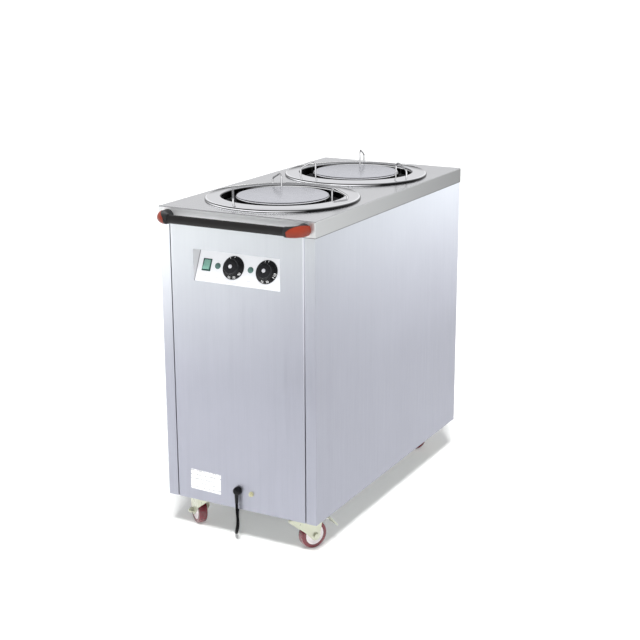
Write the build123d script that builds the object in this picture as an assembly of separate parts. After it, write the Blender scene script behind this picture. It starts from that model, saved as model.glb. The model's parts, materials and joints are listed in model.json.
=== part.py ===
from build123d import *
import math
import os

# Heated two-well plate dispenser trolley, in millimetres, with +Z up.
# The origin is on the floor, at the middle of the box round the trolley without its mains lead.
# The front, with the push handle and the controls, faces -Y.

# Overall sizes
cart_length = 900.0
cart_width = 455.0
worktop_height = 884.0
caster_height = 100.0

# Sheet metal
worktop_sheet = 1.5
panel_sheet = 1.2
apron_height = 41.5
apron_gap = 0.3
corner_radius = 3.0
edge_radius = 2.0
bend_radius = 2.0
return_width = 30.0
flange_depth = 14.0
seam_gap = 2.0
panel_drop = 3.0
pan_sheet = 1.5
pan_upstand = 25.0

# Control recess in the front panel
window_width = 253.0
window_height = 82.5
window_drop = 101.5
window_offset = 1.0
recess_depth = 37.0
control_row = 44.0
switch_x = -97.8
lamp_xs = [-65.3, 31.1]
knob_xs = [-18.3, 78.5]

# Rocker switch
bezel_width = 25.0
bezel_height = 32.0
bezel_thickness = 2.4
switch_wall = 2.6
switch_depth = 24.0
pocket_depth = 9.0
rocker_side_gap = 0.4
rocker_end_gap = 0.8
rocker_rise = 3.0
rocker_dish = 1.2
rocker_skirt = 4.0
rocker_keel = 7.0
rocker_tilt = 8.0
rocker_pin_radius = 1.5
rocker_pin_depth = 1.0
pin_clearance = 0.05

# Pilot lamps
lamp_radius = 8.0
lamp_bezel = 2.0
lamp_lens_radius = 6.4
lamp_lens_height = 3.2
lamp_body_radius = 5.4
lamp_body_depth = 22.0

# Thermostats and their knobs
thermostat_width = 36.0
thermostat_height = 44.0
thermostat_depth = 24.0
bush_radius = 5.0
bush_length = 3.0
spindle_radius = 3.0
spindle_length = 14.0
dial_radius = 30.5
dial_edge = 3.0
dial_rise = 7.0
grip_radius = 20.5
grip_top_radius = 18.5
knob_height = 19.5
knob_lift = 1.0
knob_hollow_radius = 12.0
knob_hollow_depth = 4.0
knob_spigot_radius = 5.5
knob_spigot_height = 0.8

# Push handle
handle_radius = 11.0
handle_bore_radius = 9.0
handle_offset = 41.0
handle_drop = 21.5
elbow_x = 197.0
elbow_bend = 30.0
elbow_root_width = 17.5
elbow_root_height = 15.5
elbow_end_radius = 12.5
handle_seat = 8.0
cap_thickness = 1.3
cap_gap = 0.1
cap_cut_angle = 28.0
cap_cut_tilt = 32.0
cap_cut_offset = 15.0

# Cable entry and earth terminal on the front panel
gland_x = -6.2
gland_height = 148.8
gland_radius = 11.0
gland_dome = 16.0
gland_thread_radius = 8.0
gland_nut_depth = 8.0
relief_axis = 9.5
relief_top_radius = 5.6
relief_end_radius = 4.4
relief_length = 32.8
earth_x = 33.4
earth_height = 145.6
earth_washer_radius = 7.0
earth_washer_thickness = 1.2
earth_nut_width = 10.0
earth_nut_height = 5.0
earth_stud_radius = 3.0
earth_stud_length = 9.0
earth_tail = 10.0
hole_clearance = 0.1

# Wells: collar, tube, platform and carrier
collar_end_margin = 35.5
collar_gap = 13.0
collar_brim = 42.4
collar_sheet = 1.2
crown_height = 10.4
shoulder_height = 5.8
shoulder_bend = 5.0
throat_bend = 4.0
throat_depth = 14.0
worktop_hole_step = 18.0
tube_sheet = 1.2
tube_clearance = 0.2
hanger_step = 4.0
hanger_sheet = 1.2
platform_gap = 39.6
platform_rise = 9.0
platform_sheet = 1.5
platform_rim = 14.0
platform_bend = 4.0
platform_travel = 420.0
carrier_drop = 220.0
spider_sheet = 3.0
spider_hub_radius = 55.0
arm_width = 16.0
arm_end = 9.0
arm_angles = [70.0, 190.0, 310.0]
post_radius = 5.0
post_inset = 32.0
slot_clearance = 2.0
slot_margin = 3.0
tube_tail = 22.0
spring_inset = 22.0
spring_radius = 7.0
spring_bore_radius = 5.0
spring_clearance = 0.3

# Wire plate guides, which swing about the leg in their socket
wire_radius = 2.4
socket_inset = 27.0
guide_span = 45.0
guide_bend = 7.0
guide_shoulder_drop = 17.0
guide_leg = 45.0
guide_reach = 150.0
socket_wall = 2.0
socket_depth = 40.0
guide_clearance = 0.08
guide_apex = 48.0
# Each guide: node name, well, socket angle, turn from radial, apex as a share of the full height
guides = [
    ("front_guide_left", 0, 255.2, 46.7, 0.79),
    ("front_guide_right", 0, 10.3, -9.8, 0.65),
    ("front_guide_rear", 0, 128.7, 22.9, 0.83),
    ("rear_guide_left", 1, 235.9, -5.0, 1.0),
    ("rear_guide_right", 1, -9.9, -14.2, 0.92),
    ("rear_guide_rear", 1, 108.9, -7.6, 1.0),
]

# Heating elements on the base pan
element_radius = 4.0
element_length = 220.0
element_width = 80.0
element_height = 28.0
element_foot_radius = 3.0
element_foot_inset = 20.0

# Casters
caster_x = 158.0
caster_rear_step = 23.0
caster_offset = 4.8
caster_inset = 50.0
wheel_crown_gap = 16.0
tyre_width = 24.0
tyre_depth = 10.5
tyre_shoulder = 4.0
rim_thickness = 2.6
web_thickness = 6.0
hub_radius = 10.0
hub_width = 28.0
axle_radius = 4.0
axle_clearance = 0.05
nut_width = 13.0
bolt_head = 5.5
nut_height = 9.0
axle_tail = 4.0
trail = 26.0
fork_sheet = 2.5
fork_gap = 0.6
fork_tip = 46.0
fork_tip_depth = 6.5
fork_tip_half = 4.5
fork_tip_round = 3.5
fork_taper_start = 14.0
fork_shoulder_round = 15.0
fork_waist_x = -6.0
fork_waist_rise = 14.5
fork_eye_radius = 14.0
fork_ear_x = 40.0
fork_ear_drop = 11.0
fork_ear_radius = 7.0
plate_length = 74.0
plate_width = 56.0
plate_thickness = 2.5
plate_corner = 6.0
race_radius = 22.0
race_height = 6.2
race_clearance = 0.3
kingpin_radius = 5.0
kingpin_head_radius = 8.0
kingpin_head_height = 3.0
bolt_radius = 4.0
bolt_head_width = 12.0
bolt_head_height = 4.0
bolt_spacing_x = 40.0
bolt_spacing_y = 50.0
pedal_sheet = 2.5
pedal_barrel_radius = 4.5
pedal_pin_radius = 2.0
pedal_tread_x = 56.0
pedal_tread_drop = 3.0
pedal_neck_x = 72.0
pedal_neck_drop = 6.0
pedal_toe_x = 94.0
pedal_toe_drop = 32.0
pedal_tread_width = 34.0
pedal_gap = 0.4
# Each caster: node prefix, side in X, end in Y, heading of its trail, with a brake pedal
casters = [
    ("front_left", -1, -1, 143.0, True),
    ("front_right", 1, -1, 62.0, True),
    ("rear_left", -1, 1, 150.0, False),
    ("rear_right", 1, 1, 208.0, False),
]

# Mains lead: hanging and floor run, neat round coil, moulded plug
cord_radius = 3.75
coil_radius = 51.0
coil_gap = 0.7
coil_half_turns = 5
coil_entry = 7.5
coil_x = -83.0
coil_setback = 270.0
plug_relief = 26.0
plug_length = 34.0
plug_width = 27.0
plug_edge = 4.0
pin_length = 17.0
pin_width = 6.0
pin_thickness = 1.6
pin_pitch = 12.0
# The lead drops straight from its gland, then follows this route to the coil
# Each point: X, distance behind the front of the apron, height above the lead's rest on the floor
lead_drop = 22.0
cord_route = [
    (-2.6, -9.0, 66.0),
    (-7.0, -3.0, 40.0),
    (-23.0, 14.0, 14.0),
    (-46.0, 51.0, 0.0),
    (-67.0, 91.0, 0.0),
    (-105.0, 151.0, 0.0),
    (-134.0, 203.0, 0.0),
]

# Radii about the axis of a well, from the collars that fill the length of the worktop
collar_radius = (cart_length - 2 * collar_end_margin - collar_gap) / 4
throat_radius = collar_radius - collar_brim
hanger_radius = collar_radius - hanger_step
worktop_hole_radius = collar_radius - worktop_hole_step
platform_radius = throat_radius - platform_gap
guide_circle = collar_radius - socket_inset
spring_circle = hanger_radius - spring_inset
arm_reach = spring_circle + arm_end
post_circle = platform_radius - post_inset
well_spacing = 2 * collar_radius + collar_gap

# Planes and levels that the pieces share
handle_reach = handle_offset + elbow_end_radius + cap_thickness
front_y = -(cart_length + handle_reach) / 2 + handle_reach
rear_y = front_y + cart_length
mid_y = (front_y + rear_y) / 2
apron_step = worktop_sheet + apron_gap
body_x = cart_width / 2 - apron_step
panel_front = front_y + apron_step
panel_rear = rear_y - apron_step
panel_top = worktop_height - worktop_sheet
panel_bottom = caster_height - panel_drop
front_panel_x = body_x - return_width - seam_gap
handle_z = worktop_height - handle_drop
well_ys = [mid_y - well_spacing / 2, mid_y + well_spacing / 2]
tube_inner = throat_radius + collar_sheet + tube_clearance
tube_outer = tube_inner + tube_sheet
hanger_z = panel_top - hanger_sheet
platform_z = worktop_height + platform_rise
spider_z = platform_z - carrier_drop
tube_bottom = spider_z - spider_sheet - platform_travel - slot_margin - tube_tail
socket_radius = wire_radius + guide_clearance + socket_wall
pan_x = body_x - panel_sheet
pan_front = panel_front + flange_depth
pan_rear = panel_rear - flange_depth
fork_top = caster_height - plate_thickness - race_height - race_clearance
fork_half = hub_width / 2 + fork_gap + fork_sheet
wheel_radius = (fork_top - wheel_crown_gap) / 2
rim_radius = wheel_radius - tyre_depth
recess_plane_y = panel_front + panel_sheet
sill_z = worktop_height - window_drop - window_height
recess_tilt = math.degrees(math.atan2(recess_depth, window_height))
pocket_width = bezel_width - 2 * switch_wall
pocket_height = bezel_height - 2 * switch_wall
coil_rise = 2 * cord_radius + coil_gap
coil_level = cord_radius + coil_rise
coil_y = front_y + coil_setback

# Frame of the sloping fascia: x across, y up the slope, z out of it
fascia = Plane(
    origin=(window_offset, recess_plane_y, sill_z),
    x_dir=(1, 0, 0),
    z_dir=(0, -math.cos(math.radians(recess_tilt)), math.sin(math.radians(recess_tilt))),
)

BOTTOM = (Align.CENTER, Align.CENTER, Align.MIN)
TOP = (Align.CENTER, Align.CENTER, Align.MAX)


def polar(radius, angle):
    """A point at this radius and angle, in degrees, round the Z axis."""
    return radius * math.cos(math.radians(angle)), radius * math.sin(math.radians(angle))


def rod(start_z, end_z, radius, x=0.0, y=0.0):
    """An upright cylinder between two levels."""
    return Pos(x, y, start_z) * Cylinder(radius, end_z - start_z, align=BOTTOM)


def hexagon(start_z, end_z, width, x=0.0, y=0.0):
    """An upright hexagonal prism, sized across its flats."""
    outline = RegularPolygon(width / 2, 6, major_radius=False)
    return Pos(x, y, start_z) * extrude(outline, amount=end_z - start_z)


def turned(points, axis=Axis.Z):
    """A solid of revolution from (radius, height) points."""
    face = make_face(Polyline([(r, 0, z) for r, z in points], close=True))
    return revolve(face, axis)


def spun(points, radii, thickness):
    """Sheet metal spun about Z: a bent line of (radius, height) points, thickened inwards."""
    line = FilletPolyline(*points, radius=radii)
    section = make_face(offset(line, amount=thickness, side=Side.LEFT))
    return revolve(Rot(90, 0, 0) * section, Axis.Z)


def folded(points, thickness, start_z, end_z):
    """Sheet metal folded along upright bends, from (x, y) points with the inside on the left."""
    line = FilletPolyline(*points, radius=bend_radius)
    section = make_face(offset(line, amount=thickness, side=Side.LEFT))
    return Pos(0, 0, start_z) * extrude(section, amount=end_z - start_z)


# Cabinet
def make_worktop():
    """Pressed top with a folded apron and a round hole for each well."""
    top = Box(cart_width, cart_length, apron_height, align=TOP)
    top = fillet(top.edges().filter_by(Axis.Z), corner_radius)
    top = fillet(top.faces().sort_by(Axis.Z)[-1].edges(), edge_radius)
    hollow = Box(cart_width - 2 * worktop_sheet, cart_length - 2 * worktop_sheet, apron_height, align=TOP)
    hollow = fillet(hollow.edges().filter_by(Axis.Z), corner_radius - worktop_sheet)
    top = Pos(0, mid_y, worktop_height) * (top - Pos(0, 0, -worktop_sheet) * hollow)
    for y in well_ys:
        top -= rod(worktop_height - apron_height, worktop_height + 1, worktop_hole_radius, 0, y)
    return top


def make_side_panel(side):
    """Side panel with a return and a lip folded round each end."""
    inner_x = body_x - return_width
    points = [
        (inner_x, panel_front + flange_depth),
        (inner_x, panel_front),
        (body_x, panel_front),
        (body_x, panel_rear),
        (inner_x, panel_rear),
        (inner_x, panel_rear - flange_depth),
    ]
    panel = folded(points, panel_sheet, panel_bottom, panel_top)
    return panel if side > 0 else mirror(panel, about=Plane.YZ)


def make_end_panel(y, inward):
    """Front or rear panel between the returns of the side panels, with flanged edges."""
    points = [
        (-front_panel_x, y + inward * flange_depth),
        (-front_panel_x, y),
        (front_panel_x, y),
        (front_panel_x, y + inward * flange_depth),
    ]
    if inward < 0:
        points.reverse()
    return folded(points, panel_sheet, panel_bottom, panel_top)


def make_front_panel():
    """Front panel with its control window, cable hole and earth hole."""
    panel = make_end_panel(panel_front, 1)
    window = Box(window_width, 4 * panel_sheet, window_height, align=BOTTOM)
    panel -= Pos(window_offset, panel_front, sill_z) * window
    across = Pos(0, panel_front, 0) * Rot(90, 0, 0)
    gland = (gland_x, gland_height, gland_thread_radius)
    earth = (earth_x, earth_height, earth_stud_radius)
    for x, z, radius in (gland, earth):
        panel -= Pos(x, 0, z) * across * Cylinder(radius + hole_clearance, 4 * panel_sheet)
    return panel


def bolt_places():
    """Centres of the bolts of all the caster plates."""
    for _, side, end, _, _ in casters:
        x, y = caster_place(side, end)
        for sx in (-1, 1):
            for sy in (-1, 1):
                yield x + sx * bolt_spacing_x / 2, y + sy * bolt_spacing_y / 2


def make_base_pan():
    """Tray that closes the bottom and carries the casters."""
    length = pan_rear - pan_front
    tray = Box(2 * pan_x, length, pan_upstand, align=BOTTOM)
    hollow = Box(2 * (pan_x - pan_sheet), length - 2 * pan_sheet, pan_upstand, align=BOTTOM)
    tray -= Pos(0, 0, pan_sheet) * hollow
    tray = Pos(0, (pan_front + pan_rear) / 2, caster_height) * tray
    for x, y in bolt_places():
        tray -= rod(caster_height - 1, caster_height + 2 * pan_sheet, bolt_radius + hole_clearance, x, y)
    return tray


def make_control_panel():
    """Sloping fascia with its ceiling and cheeks, set behind the window."""
    top_z = sill_z + window_height
    corners = [
        (recess_plane_y, sill_z),
        (recess_plane_y + recess_depth, top_z),
        (recess_plane_y, top_z),
    ]
    section = make_face(offset(Polyline(*corners), amount=panel_sheet, side=Side.RIGHT))
    cheek = section + make_face(Polyline(*corners, close=True))
    upright = Plane(origin=(window_offset, 0, 0), x_dir=(0, 1, 0), z_dir=(1, 0, 0))
    panel = extrude(upright * section, amount=window_width / 2, both=True)
    for sign in (-1, 1):
        start = window_width / 2 if sign > 0 else -window_width / 2 - panel_sheet
        panel += Pos(start, 0, 0) * extrude(upright * cheek, amount=panel_sheet)
    panel -= fascia * Pos(switch_x, control_row, 0) * Box(
        pocket_width + switch_wall, pocket_height + switch_wall, 6 * panel_sheet
    )
    round_holes = [(x, lamp_body_radius) for x in lamp_xs]
    round_holes += [(x, bush_radius) for x in knob_xs]
    for x, radius in round_holes:
        hole = Cylinder(radius + hole_clearance, 6 * panel_sheet)
        panel -= fascia * Pos(x, control_row, 0) * hole
    return panel


# Controls on the fascia
def make_switch_housing():
    """Switch body with a bezel and a pocket for the rocker."""
    body = Box(
        pocket_width + switch_wall - 2 * hole_clearance,
        pocket_height + switch_wall - 2 * hole_clearance,
        switch_depth,
        align=TOP,
    )
    bezel = Box(bezel_width, bezel_height, bezel_thickness, align=BOTTOM)
    bezel = chamfer(bezel.faces().sort_by(Axis.Z)[-1].edges(), bezel_thickness / 3)
    housing = body + bezel
    pocket = Box(pocket_width, pocket_height, pocket_depth + bezel_thickness, align=TOP)
    housing -= Pos(0, 0, bezel_thickness) * pocket
    pin_reach = pocket_width + 2 * (rocker_pin_depth - rocker_side_gap + hole_clearance)
    housing -= Pos(0, 0, -1) * Rot(0, 90, 0) * Cylinder(rocker_pin_radius + pin_clearance, pin_reach)
    return fascia * Pos(switch_x, control_row, 0) * housing


def make_switch_rocker():
    """Dished rocker with its two pivot pins, tilted to its rest position."""
    half = pocket_height / 2 - rocker_end_gap
    outline = Polyline(
        (-half, -rocker_skirt),
        (-half, rocker_rise),
        (0, rocker_rise - rocker_dish),
        (half, rocker_rise),
        (half, -rocker_skirt),
        (0, -rocker_keel),
        close=True,
    )
    width = pocket_width - 2 * rocker_side_gap
    side_view = Plane(origin=(0, 0, 0), x_dir=(0, 1, 0), z_dir=(1, 0, 0))
    rocker = extrude(side_view * make_face(outline), amount=width / 2, both=True)
    rocker += Pos(0, 0, -1) * Rot(0, 90, 0) * Cylinder(rocker_pin_radius, width + 2 * rocker_pin_depth)
    rocker = Pos(0, 0, -1) * Rot(-rocker_tilt, 0, 0) * Pos(0, 0, 1) * rocker
    return fascia * Pos(switch_x, control_row, 0) * rocker


def make_pilot_lamps():
    """Two neon pilot lamps: body, bezel and domed lens."""
    profile = [
        (0, -lamp_body_depth),
        (lamp_body_radius, -lamp_body_depth),
        (lamp_body_radius, 0),
        (lamp_radius, 0),
        (lamp_radius, lamp_bezel / 2),
        (lamp_radius - lamp_bezel / 2, lamp_bezel),
        (lamp_lens_radius, lamp_bezel),
        (lamp_lens_radius * 0.7, lamp_lens_height),
        (0, lamp_lens_height + lamp_bezel / 3),
    ]
    return [fascia * Pos(x, control_row, 0) * turned(profile) for x in lamp_xs]


def make_thermostats():
    """Two thermostats behind the fascia, each with a threaded bush for its spindle."""
    solids = []
    for x in knob_xs:
        body = Box(thermostat_width, thermostat_height, thermostat_depth, align=TOP)
        body = Pos(0, 0, -panel_sheet) * body
        body += rod(-panel_sheet, bush_length, bush_radius)
        body -= rod(-thermostat_depth / 2, bush_length + 1, spindle_radius + axle_clearance)
        solids.append(fascia * Pos(x, control_row, 0) * body)
    return solids


def make_spindle(x):
    """Thermostat spindle, from inside its bush to inside the knob."""
    return fascia * Pos(x, control_row, 0) * rod(-thermostat_depth / 3, spindle_length, spindle_radius)


def make_knob(x):
    """Knob with a conical dial skirt, a tapered grip and a round boss for its insert."""
    profile = [
        (0, knob_lift + knob_hollow_depth),
        (knob_hollow_radius, knob_lift + knob_hollow_depth),
        (knob_hollow_radius, knob_lift),
        (dial_radius, knob_lift),
        (dial_radius, knob_lift + dial_edge - 1),
        (dial_radius - 1, knob_lift + dial_edge),
        (grip_radius + 1, dial_rise),
        (grip_radius, dial_rise + 1),
        (grip_top_radius, knob_height - 1.5),
        (grip_top_radius - 1.5, knob_height),
        (knob_spigot_radius, knob_height),
        (knob_spigot_radius, knob_height + knob_spigot_height),
        (0, knob_height + knob_spigot_height),
    ]
    knob = turned(profile)
    knob -= rod(knob_lift, spindle_length, spindle_radius)
    return fascia * Pos(x, control_row, 0) * knob


# Push handle
def elbow_line():
    """Centre line of the right elbow: out of the apron, then round to the tube."""
    corner_y = front_y - handle_offset
    start = Vector(elbow_x, front_y, handle_z)
    bend_start = Vector(elbow_x, corner_y + elbow_bend, handle_z)
    centre = Vector(elbow_x - elbow_bend, corner_y + elbow_bend, handle_z)
    diagonal = elbow_bend * math.sqrt(0.5)
    middle = centre + Vector(diagonal, -diagonal, 0)
    end = Vector(elbow_x - elbow_bend, corner_y, handle_z)
    return Wire([Line(start, bend_start).edge(), ThreePointArc(bend_start, middle, end).edge()])


def elbow_body(grow):
    """Tapered elbow: an oval root on the apron that narrows to a round end."""
    line = elbow_line()
    root = Plane(origin=line @ 0, x_dir=(1, 0, 0), z_dir=(0, -1, 0)) * Ellipse(
        elbow_root_width + grow, elbow_root_height + grow
    )
    end = Plane(origin=line @ 1, x_dir=(0, 1, 0), z_dir=(-1, 0, 0)) * Circle(elbow_end_radius + grow)
    return sweep(sections=[root, end], path=line, multisection=True)


def make_handle_brackets():
    """Moulded elbows that hold the tube off the apron."""
    elbow = elbow_body(0)
    seat_x = elbow_x - elbow_bend
    bore = Pos(seat_x, front_y - handle_offset, handle_z) * Rot(0, 90, 0)
    elbow -= bore * Cylinder(handle_radius, 2 * handle_seat)
    return [elbow, mirror(elbow, about=Plane.YZ)]


def make_handle_caps():
    """Coloured covers that wrap the outer, lower side of each elbow."""
    shell = elbow_body(cap_thickness) - elbow_body(cap_gap)
    cut_x = elbow_x - elbow_bend + cap_cut_offset
    turn = Rot(0, 0, -cap_cut_angle) * Rot(0, cap_cut_tilt, 0)
    reach = 4 * handle_offset
    keep = Pos(cut_x, front_y - handle_offset, handle_z) * turn * Box(
        reach, reach, reach, align=(Align.MIN, Align.CENTER, Align.CENTER)
    )
    cap = shell & keep
    cap = Part() + max(cap.solids(), key=lambda s: s.volume)
    return [cap, mirror(cap, about=Plane.YZ)]


def make_handle_tube():
    """Push tube, seated in both elbows."""
    length = 2 * (elbow_x - elbow_bend + handle_seat)
    tube = Cylinder(handle_radius, length) - Cylinder(handle_bore_radius, length + 2)
    return Pos(0, front_y - handle_offset, handle_z) * Rot(0, 90, 0) * tube


# Cable entry and earth terminal
def make_cable_gland():
    """Domed gland through the front panel, with a tapered strain relief that points down."""
    profile = [
        (0, -gland_nut_depth - panel_sheet),
        (gland_radius, -gland_nut_depth - panel_sheet),
        (gland_radius, -panel_sheet),
        (gland_thread_radius, -panel_sheet),
        (gland_thread_radius, 0),
        (gland_radius, 0),
        (gland_radius, gland_dome * 0.45),
        (gland_radius * 0.86, gland_dome * 0.78),
        (gland_radius * 0.5, gland_dome),
        (0, gland_dome),
    ]
    outward = Plane(origin=(gland_x, panel_front, gland_height), x_dir=(1, 0, 0), z_dir=(0, -1, 0))
    gland = outward * turned(profile)
    relief = Cone(relief_end_radius, relief_top_radius, relief_length, align=BOTTOM)
    relief = Pos(gland_x, panel_front - relief_axis, gland_height - relief_length) * relief
    return gland + relief


def make_earth_terminal():
    """Earth stud with its washer, nut and the nut behind the panel."""
    outward = Plane(origin=(earth_x, panel_front, earth_height), x_dir=(1, 0, 0), z_dir=(0, -1, 0))
    stud = rod(-panel_sheet - earth_tail, earth_stud_length, earth_stud_radius)
    stud += rod(0, earth_washer_thickness, earth_washer_radius)
    stud += hexagon(earth_washer_thickness, earth_washer_thickness + earth_nut_height, earth_nut_width)
    stud += hexagon(-panel_sheet - earth_nut_height, -panel_sheet, earth_nut_width)
    return outward * stud


# Wells
def socket_angles(well):
    """Angles of the guide sockets in one collar."""
    return [angle for _, index, angle, _, _ in guides if index == well]


def make_collar(well):
    """Spun collar that rests on the worktop, with a socket under it for each guide."""
    points = [
        (collar_radius, 0),
        (collar_radius, shoulder_height),
        (throat_radius, crown_height),
        (throat_radius, -throat_depth),
    ]
    collar = spun(points, [shoulder_bend, throat_bend], collar_sheet)
    slope = (crown_height - shoulder_height) / (collar_radius - throat_radius)
    under = crown_height - slope * (guide_circle - throat_radius) - collar_sheet
    bore = wire_radius + guide_clearance
    for angle in socket_angles(well):
        x, y = polar(guide_circle, angle)
        collar += rod(-socket_depth, under + collar_sheet / 2, socket_radius, x, y)
    for angle in socket_angles(well):
        x, y = polar(guide_circle, angle)
        collar -= rod(-socket_depth - 1, crown_height + 1, bore, x, y)
    return Pos(0, well_ys[well], worktop_height) * collar


def make_well(well):
    """Slotted tube under the worktop, with the flange that hangs it and takes the springs."""
    tube = rod(tube_bottom, panel_top, tube_outer)
    tube += rod(hanger_z, panel_top, hanger_radius)
    tube -= rod(tube_bottom - 1, panel_top + 1, tube_inner)
    for angle in socket_angles(well):
        x, y = polar(guide_circle, angle)
        tube -= rod(hanger_z - 1, panel_top + 1, socket_radius + hole_clearance, x, y)
    slot_low = spider_z - spider_sheet - platform_travel - slot_margin
    slot_length = spider_z + slot_margin - slot_low
    slot_width = arm_width + 2 * slot_clearance
    slot = Box(arm_reach, slot_width, slot_length, align=(Align.MIN, Align.CENTER, Align.MIN))
    for angle in arm_angles:
        tube -= Rot(0, 0, angle) * Pos(0, 0, slot_low) * slot
    return Pos(0, well_ys[well], 0) * tube


def make_platform(well):
    """Dished platform that carries the plates, with a rolled rim."""
    points = [
        (platform_radius, -platform_rim),
        (platform_radius, 0),
        (0, 0),
    ]
    dish = spun(points, [platform_bend], platform_sheet)
    return Pos(0, well_ys[well], platform_z) * dish


def make_carrier(well):
    """Spider on three posts, whose arms reach through the slots to the springs."""
    spider = rod(-spider_sheet, 0, spider_hub_radius)
    for angle in arm_angles:
        arm = Box(arm_reach, arm_width, spider_sheet, align=(Align.MIN, Align.CENTER, Align.MAX))
        spider += Rot(0, 0, angle) * arm
    for angle in arm_angles:
        x, y = polar(post_circle, angle)
        spider += rod(-spider_sheet, carrier_drop - platform_sheet, post_radius, x, y)
    return Pos(0, well_ys[well], spider_z) * spider


def make_springs(well):
    """Three tension springs between the hanger flange and the spider arms, drawn as sleeves."""
    solids = []
    for angle in arm_angles:
        x, y = polar(spring_circle, angle)
        sleeve = rod(spider_z + spring_clearance, hanger_z - spring_clearance, spring_radius, x, y)
        sleeve -= rod(spider_z, hanger_z, spring_bore_radius, x, y)
        solids.append(Pos(0, well_ys[well], 0) * sleeve)
    return solids


def make_guide(well, socket_angle, turn, apex_share):
    """Bent wire guide: a leg in its socket, a sloping shoulder and a leg down into the well."""
    apex = guide_apex * apex_share
    shoulder = apex - guide_shoulder_drop
    inner = guide_span - guide_shoulder_drop / 2
    line = FilletPolyline(
        (0, shoulder - guide_leg),
        (0, shoulder),
        (inner, apex),
        (guide_span, apex - guide_bend),
        (guide_span, apex - guide_reach),
        radius=[guide_bend, guide_bend / 2, guide_bend],
    )
    upright = Plane(origin=(0, 0, 0), x_dir=(1, 0, 0), z_dir=(0, -1, 0))
    path = upright * line
    section = Plane(origin=(0, 0, shoulder - guide_leg), z_dir=(0, 0, 1)) * Circle(wire_radius)
    wire = sweep(section, path=path)
    x, y = polar(guide_circle, socket_angle)
    return Pos(x, well_ys[well] + y, worktop_height) * Rot(0, 0, socket_angle + 180 + turn) * wire


def make_heaters():
    """Hairpin heating element under each well, on feet that stand on the base pan."""
    solids = []
    floor_z = caster_height + pan_sheet
    level = floor_z + element_height
    half = element_width / 2
    for y in well_ys:
        path = FilletPolyline(
            (-half, -element_length / 2, level),
            (-half, element_length / 2, level),
            (half, element_length / 2, level),
            (half, -element_length / 2, level),
            radius=half * 0.9,
        )
        section = Plane(origin=(-half, -element_length / 2, level), z_dir=(0, 1, 0)) * Circle(element_radius)
        element = sweep(section, path=path)
        for x in (-half, half):
            element += rod(floor_z, level, element_foot_radius, x, -element_length / 2 + element_foot_inset)
        element += rod(floor_z, level, element_foot_radius, 0, element_length / 2)
        solids.append(Pos(0, y, 0) * element)
    return solids


# Casters
def caster_place(side, end):
    """Swivel axis of one caster; the rear pair stands closer together."""
    half = caster_x - (caster_rear_step if end > 0 else 0)
    return caster_offset + side * half, mid_y + end * (cart_length / 2 - caster_inset)


def caster_frame(side, end, heading):
    """Frame of one caster: x along its trail, with z still measured from the floor."""
    x, y = caster_place(side, end)
    return Pos(x, y, 0) * Rot(0, 0, heading)


def make_caster_plates():
    """Mounting plates, each with its upper race and kingpin."""
    solids = []
    low = caster_height - plate_thickness
    for _, side, end, _, _ in casters:
        x, y = caster_place(side, end)
        plate = RectangleRounded(plate_width, plate_length, plate_corner)
        plate = Pos(0, 0, low) * extrude(plate, amount=plate_thickness)
        plate += turned(
            [
                (0, low - race_height),
                (race_radius - 3, low - race_height),
                (race_radius, low - race_height / 2),
                (race_radius, low),
                (0, low),
            ]
        )
        plate += rod(fork_top - fork_sheet - race_clearance - kingpin_head_height, low, kingpin_radius)
        plate += rod(
            fork_top - fork_sheet - race_clearance - kingpin_head_height,
            fork_top - fork_sheet - race_clearance,
            kingpin_head_radius,
        )
        for sx in (-1, 1):
            for sy in (-1, 1):
                bolt_x = sx * bolt_spacing_x / 2
                bolt_y = sy * bolt_spacing_y / 2
                plate -= rod(low - 1, caster_height + 1, bolt_radius + hole_clearance, bolt_x, bolt_y)
        solids.append(Pos(x, y, 0) * plate)
    return solids


def make_caster_bolts():
    """Hexagon bolts with their nuts, four to a caster."""
    solids = []
    low = caster_height - plate_thickness
    high = caster_height + pan_sheet
    for x, y in bolt_places():
        bolt = hexagon(low - bolt_head_height, low, bolt_head_width, x, y)
        bolt += rod(low, high + bolt_head_height + 2, bolt_radius, x, y)
        bolt += hexagon(high, high + bolt_head_height, bolt_head_width, x, y)
        solids.append(bolt)
    return solids


def fork_plan():
    """Plan of the fork: parallel cheeks at the axle that run together into a round nose."""
    end_x = fork_ear_x + 2 * fork_ear_radius
    plan = make_face(
        Polyline(
            (end_x, fork_half),
            (-fork_taper_start, fork_half),
            (-fork_tip, fork_tip_half),
            (-fork_tip, -fork_tip_half),
            (-fork_taper_start, -fork_half),
            (end_x, -fork_half),
            close=True,
        )
    )
    by_x = plan.vertices().sort_by(Axis.X)
    plan = fillet(by_x[2:4], fork_shoulder_round)
    return fillet(plan.vertices().sort_by(Axis.X)[:2], fork_tip_round)


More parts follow.
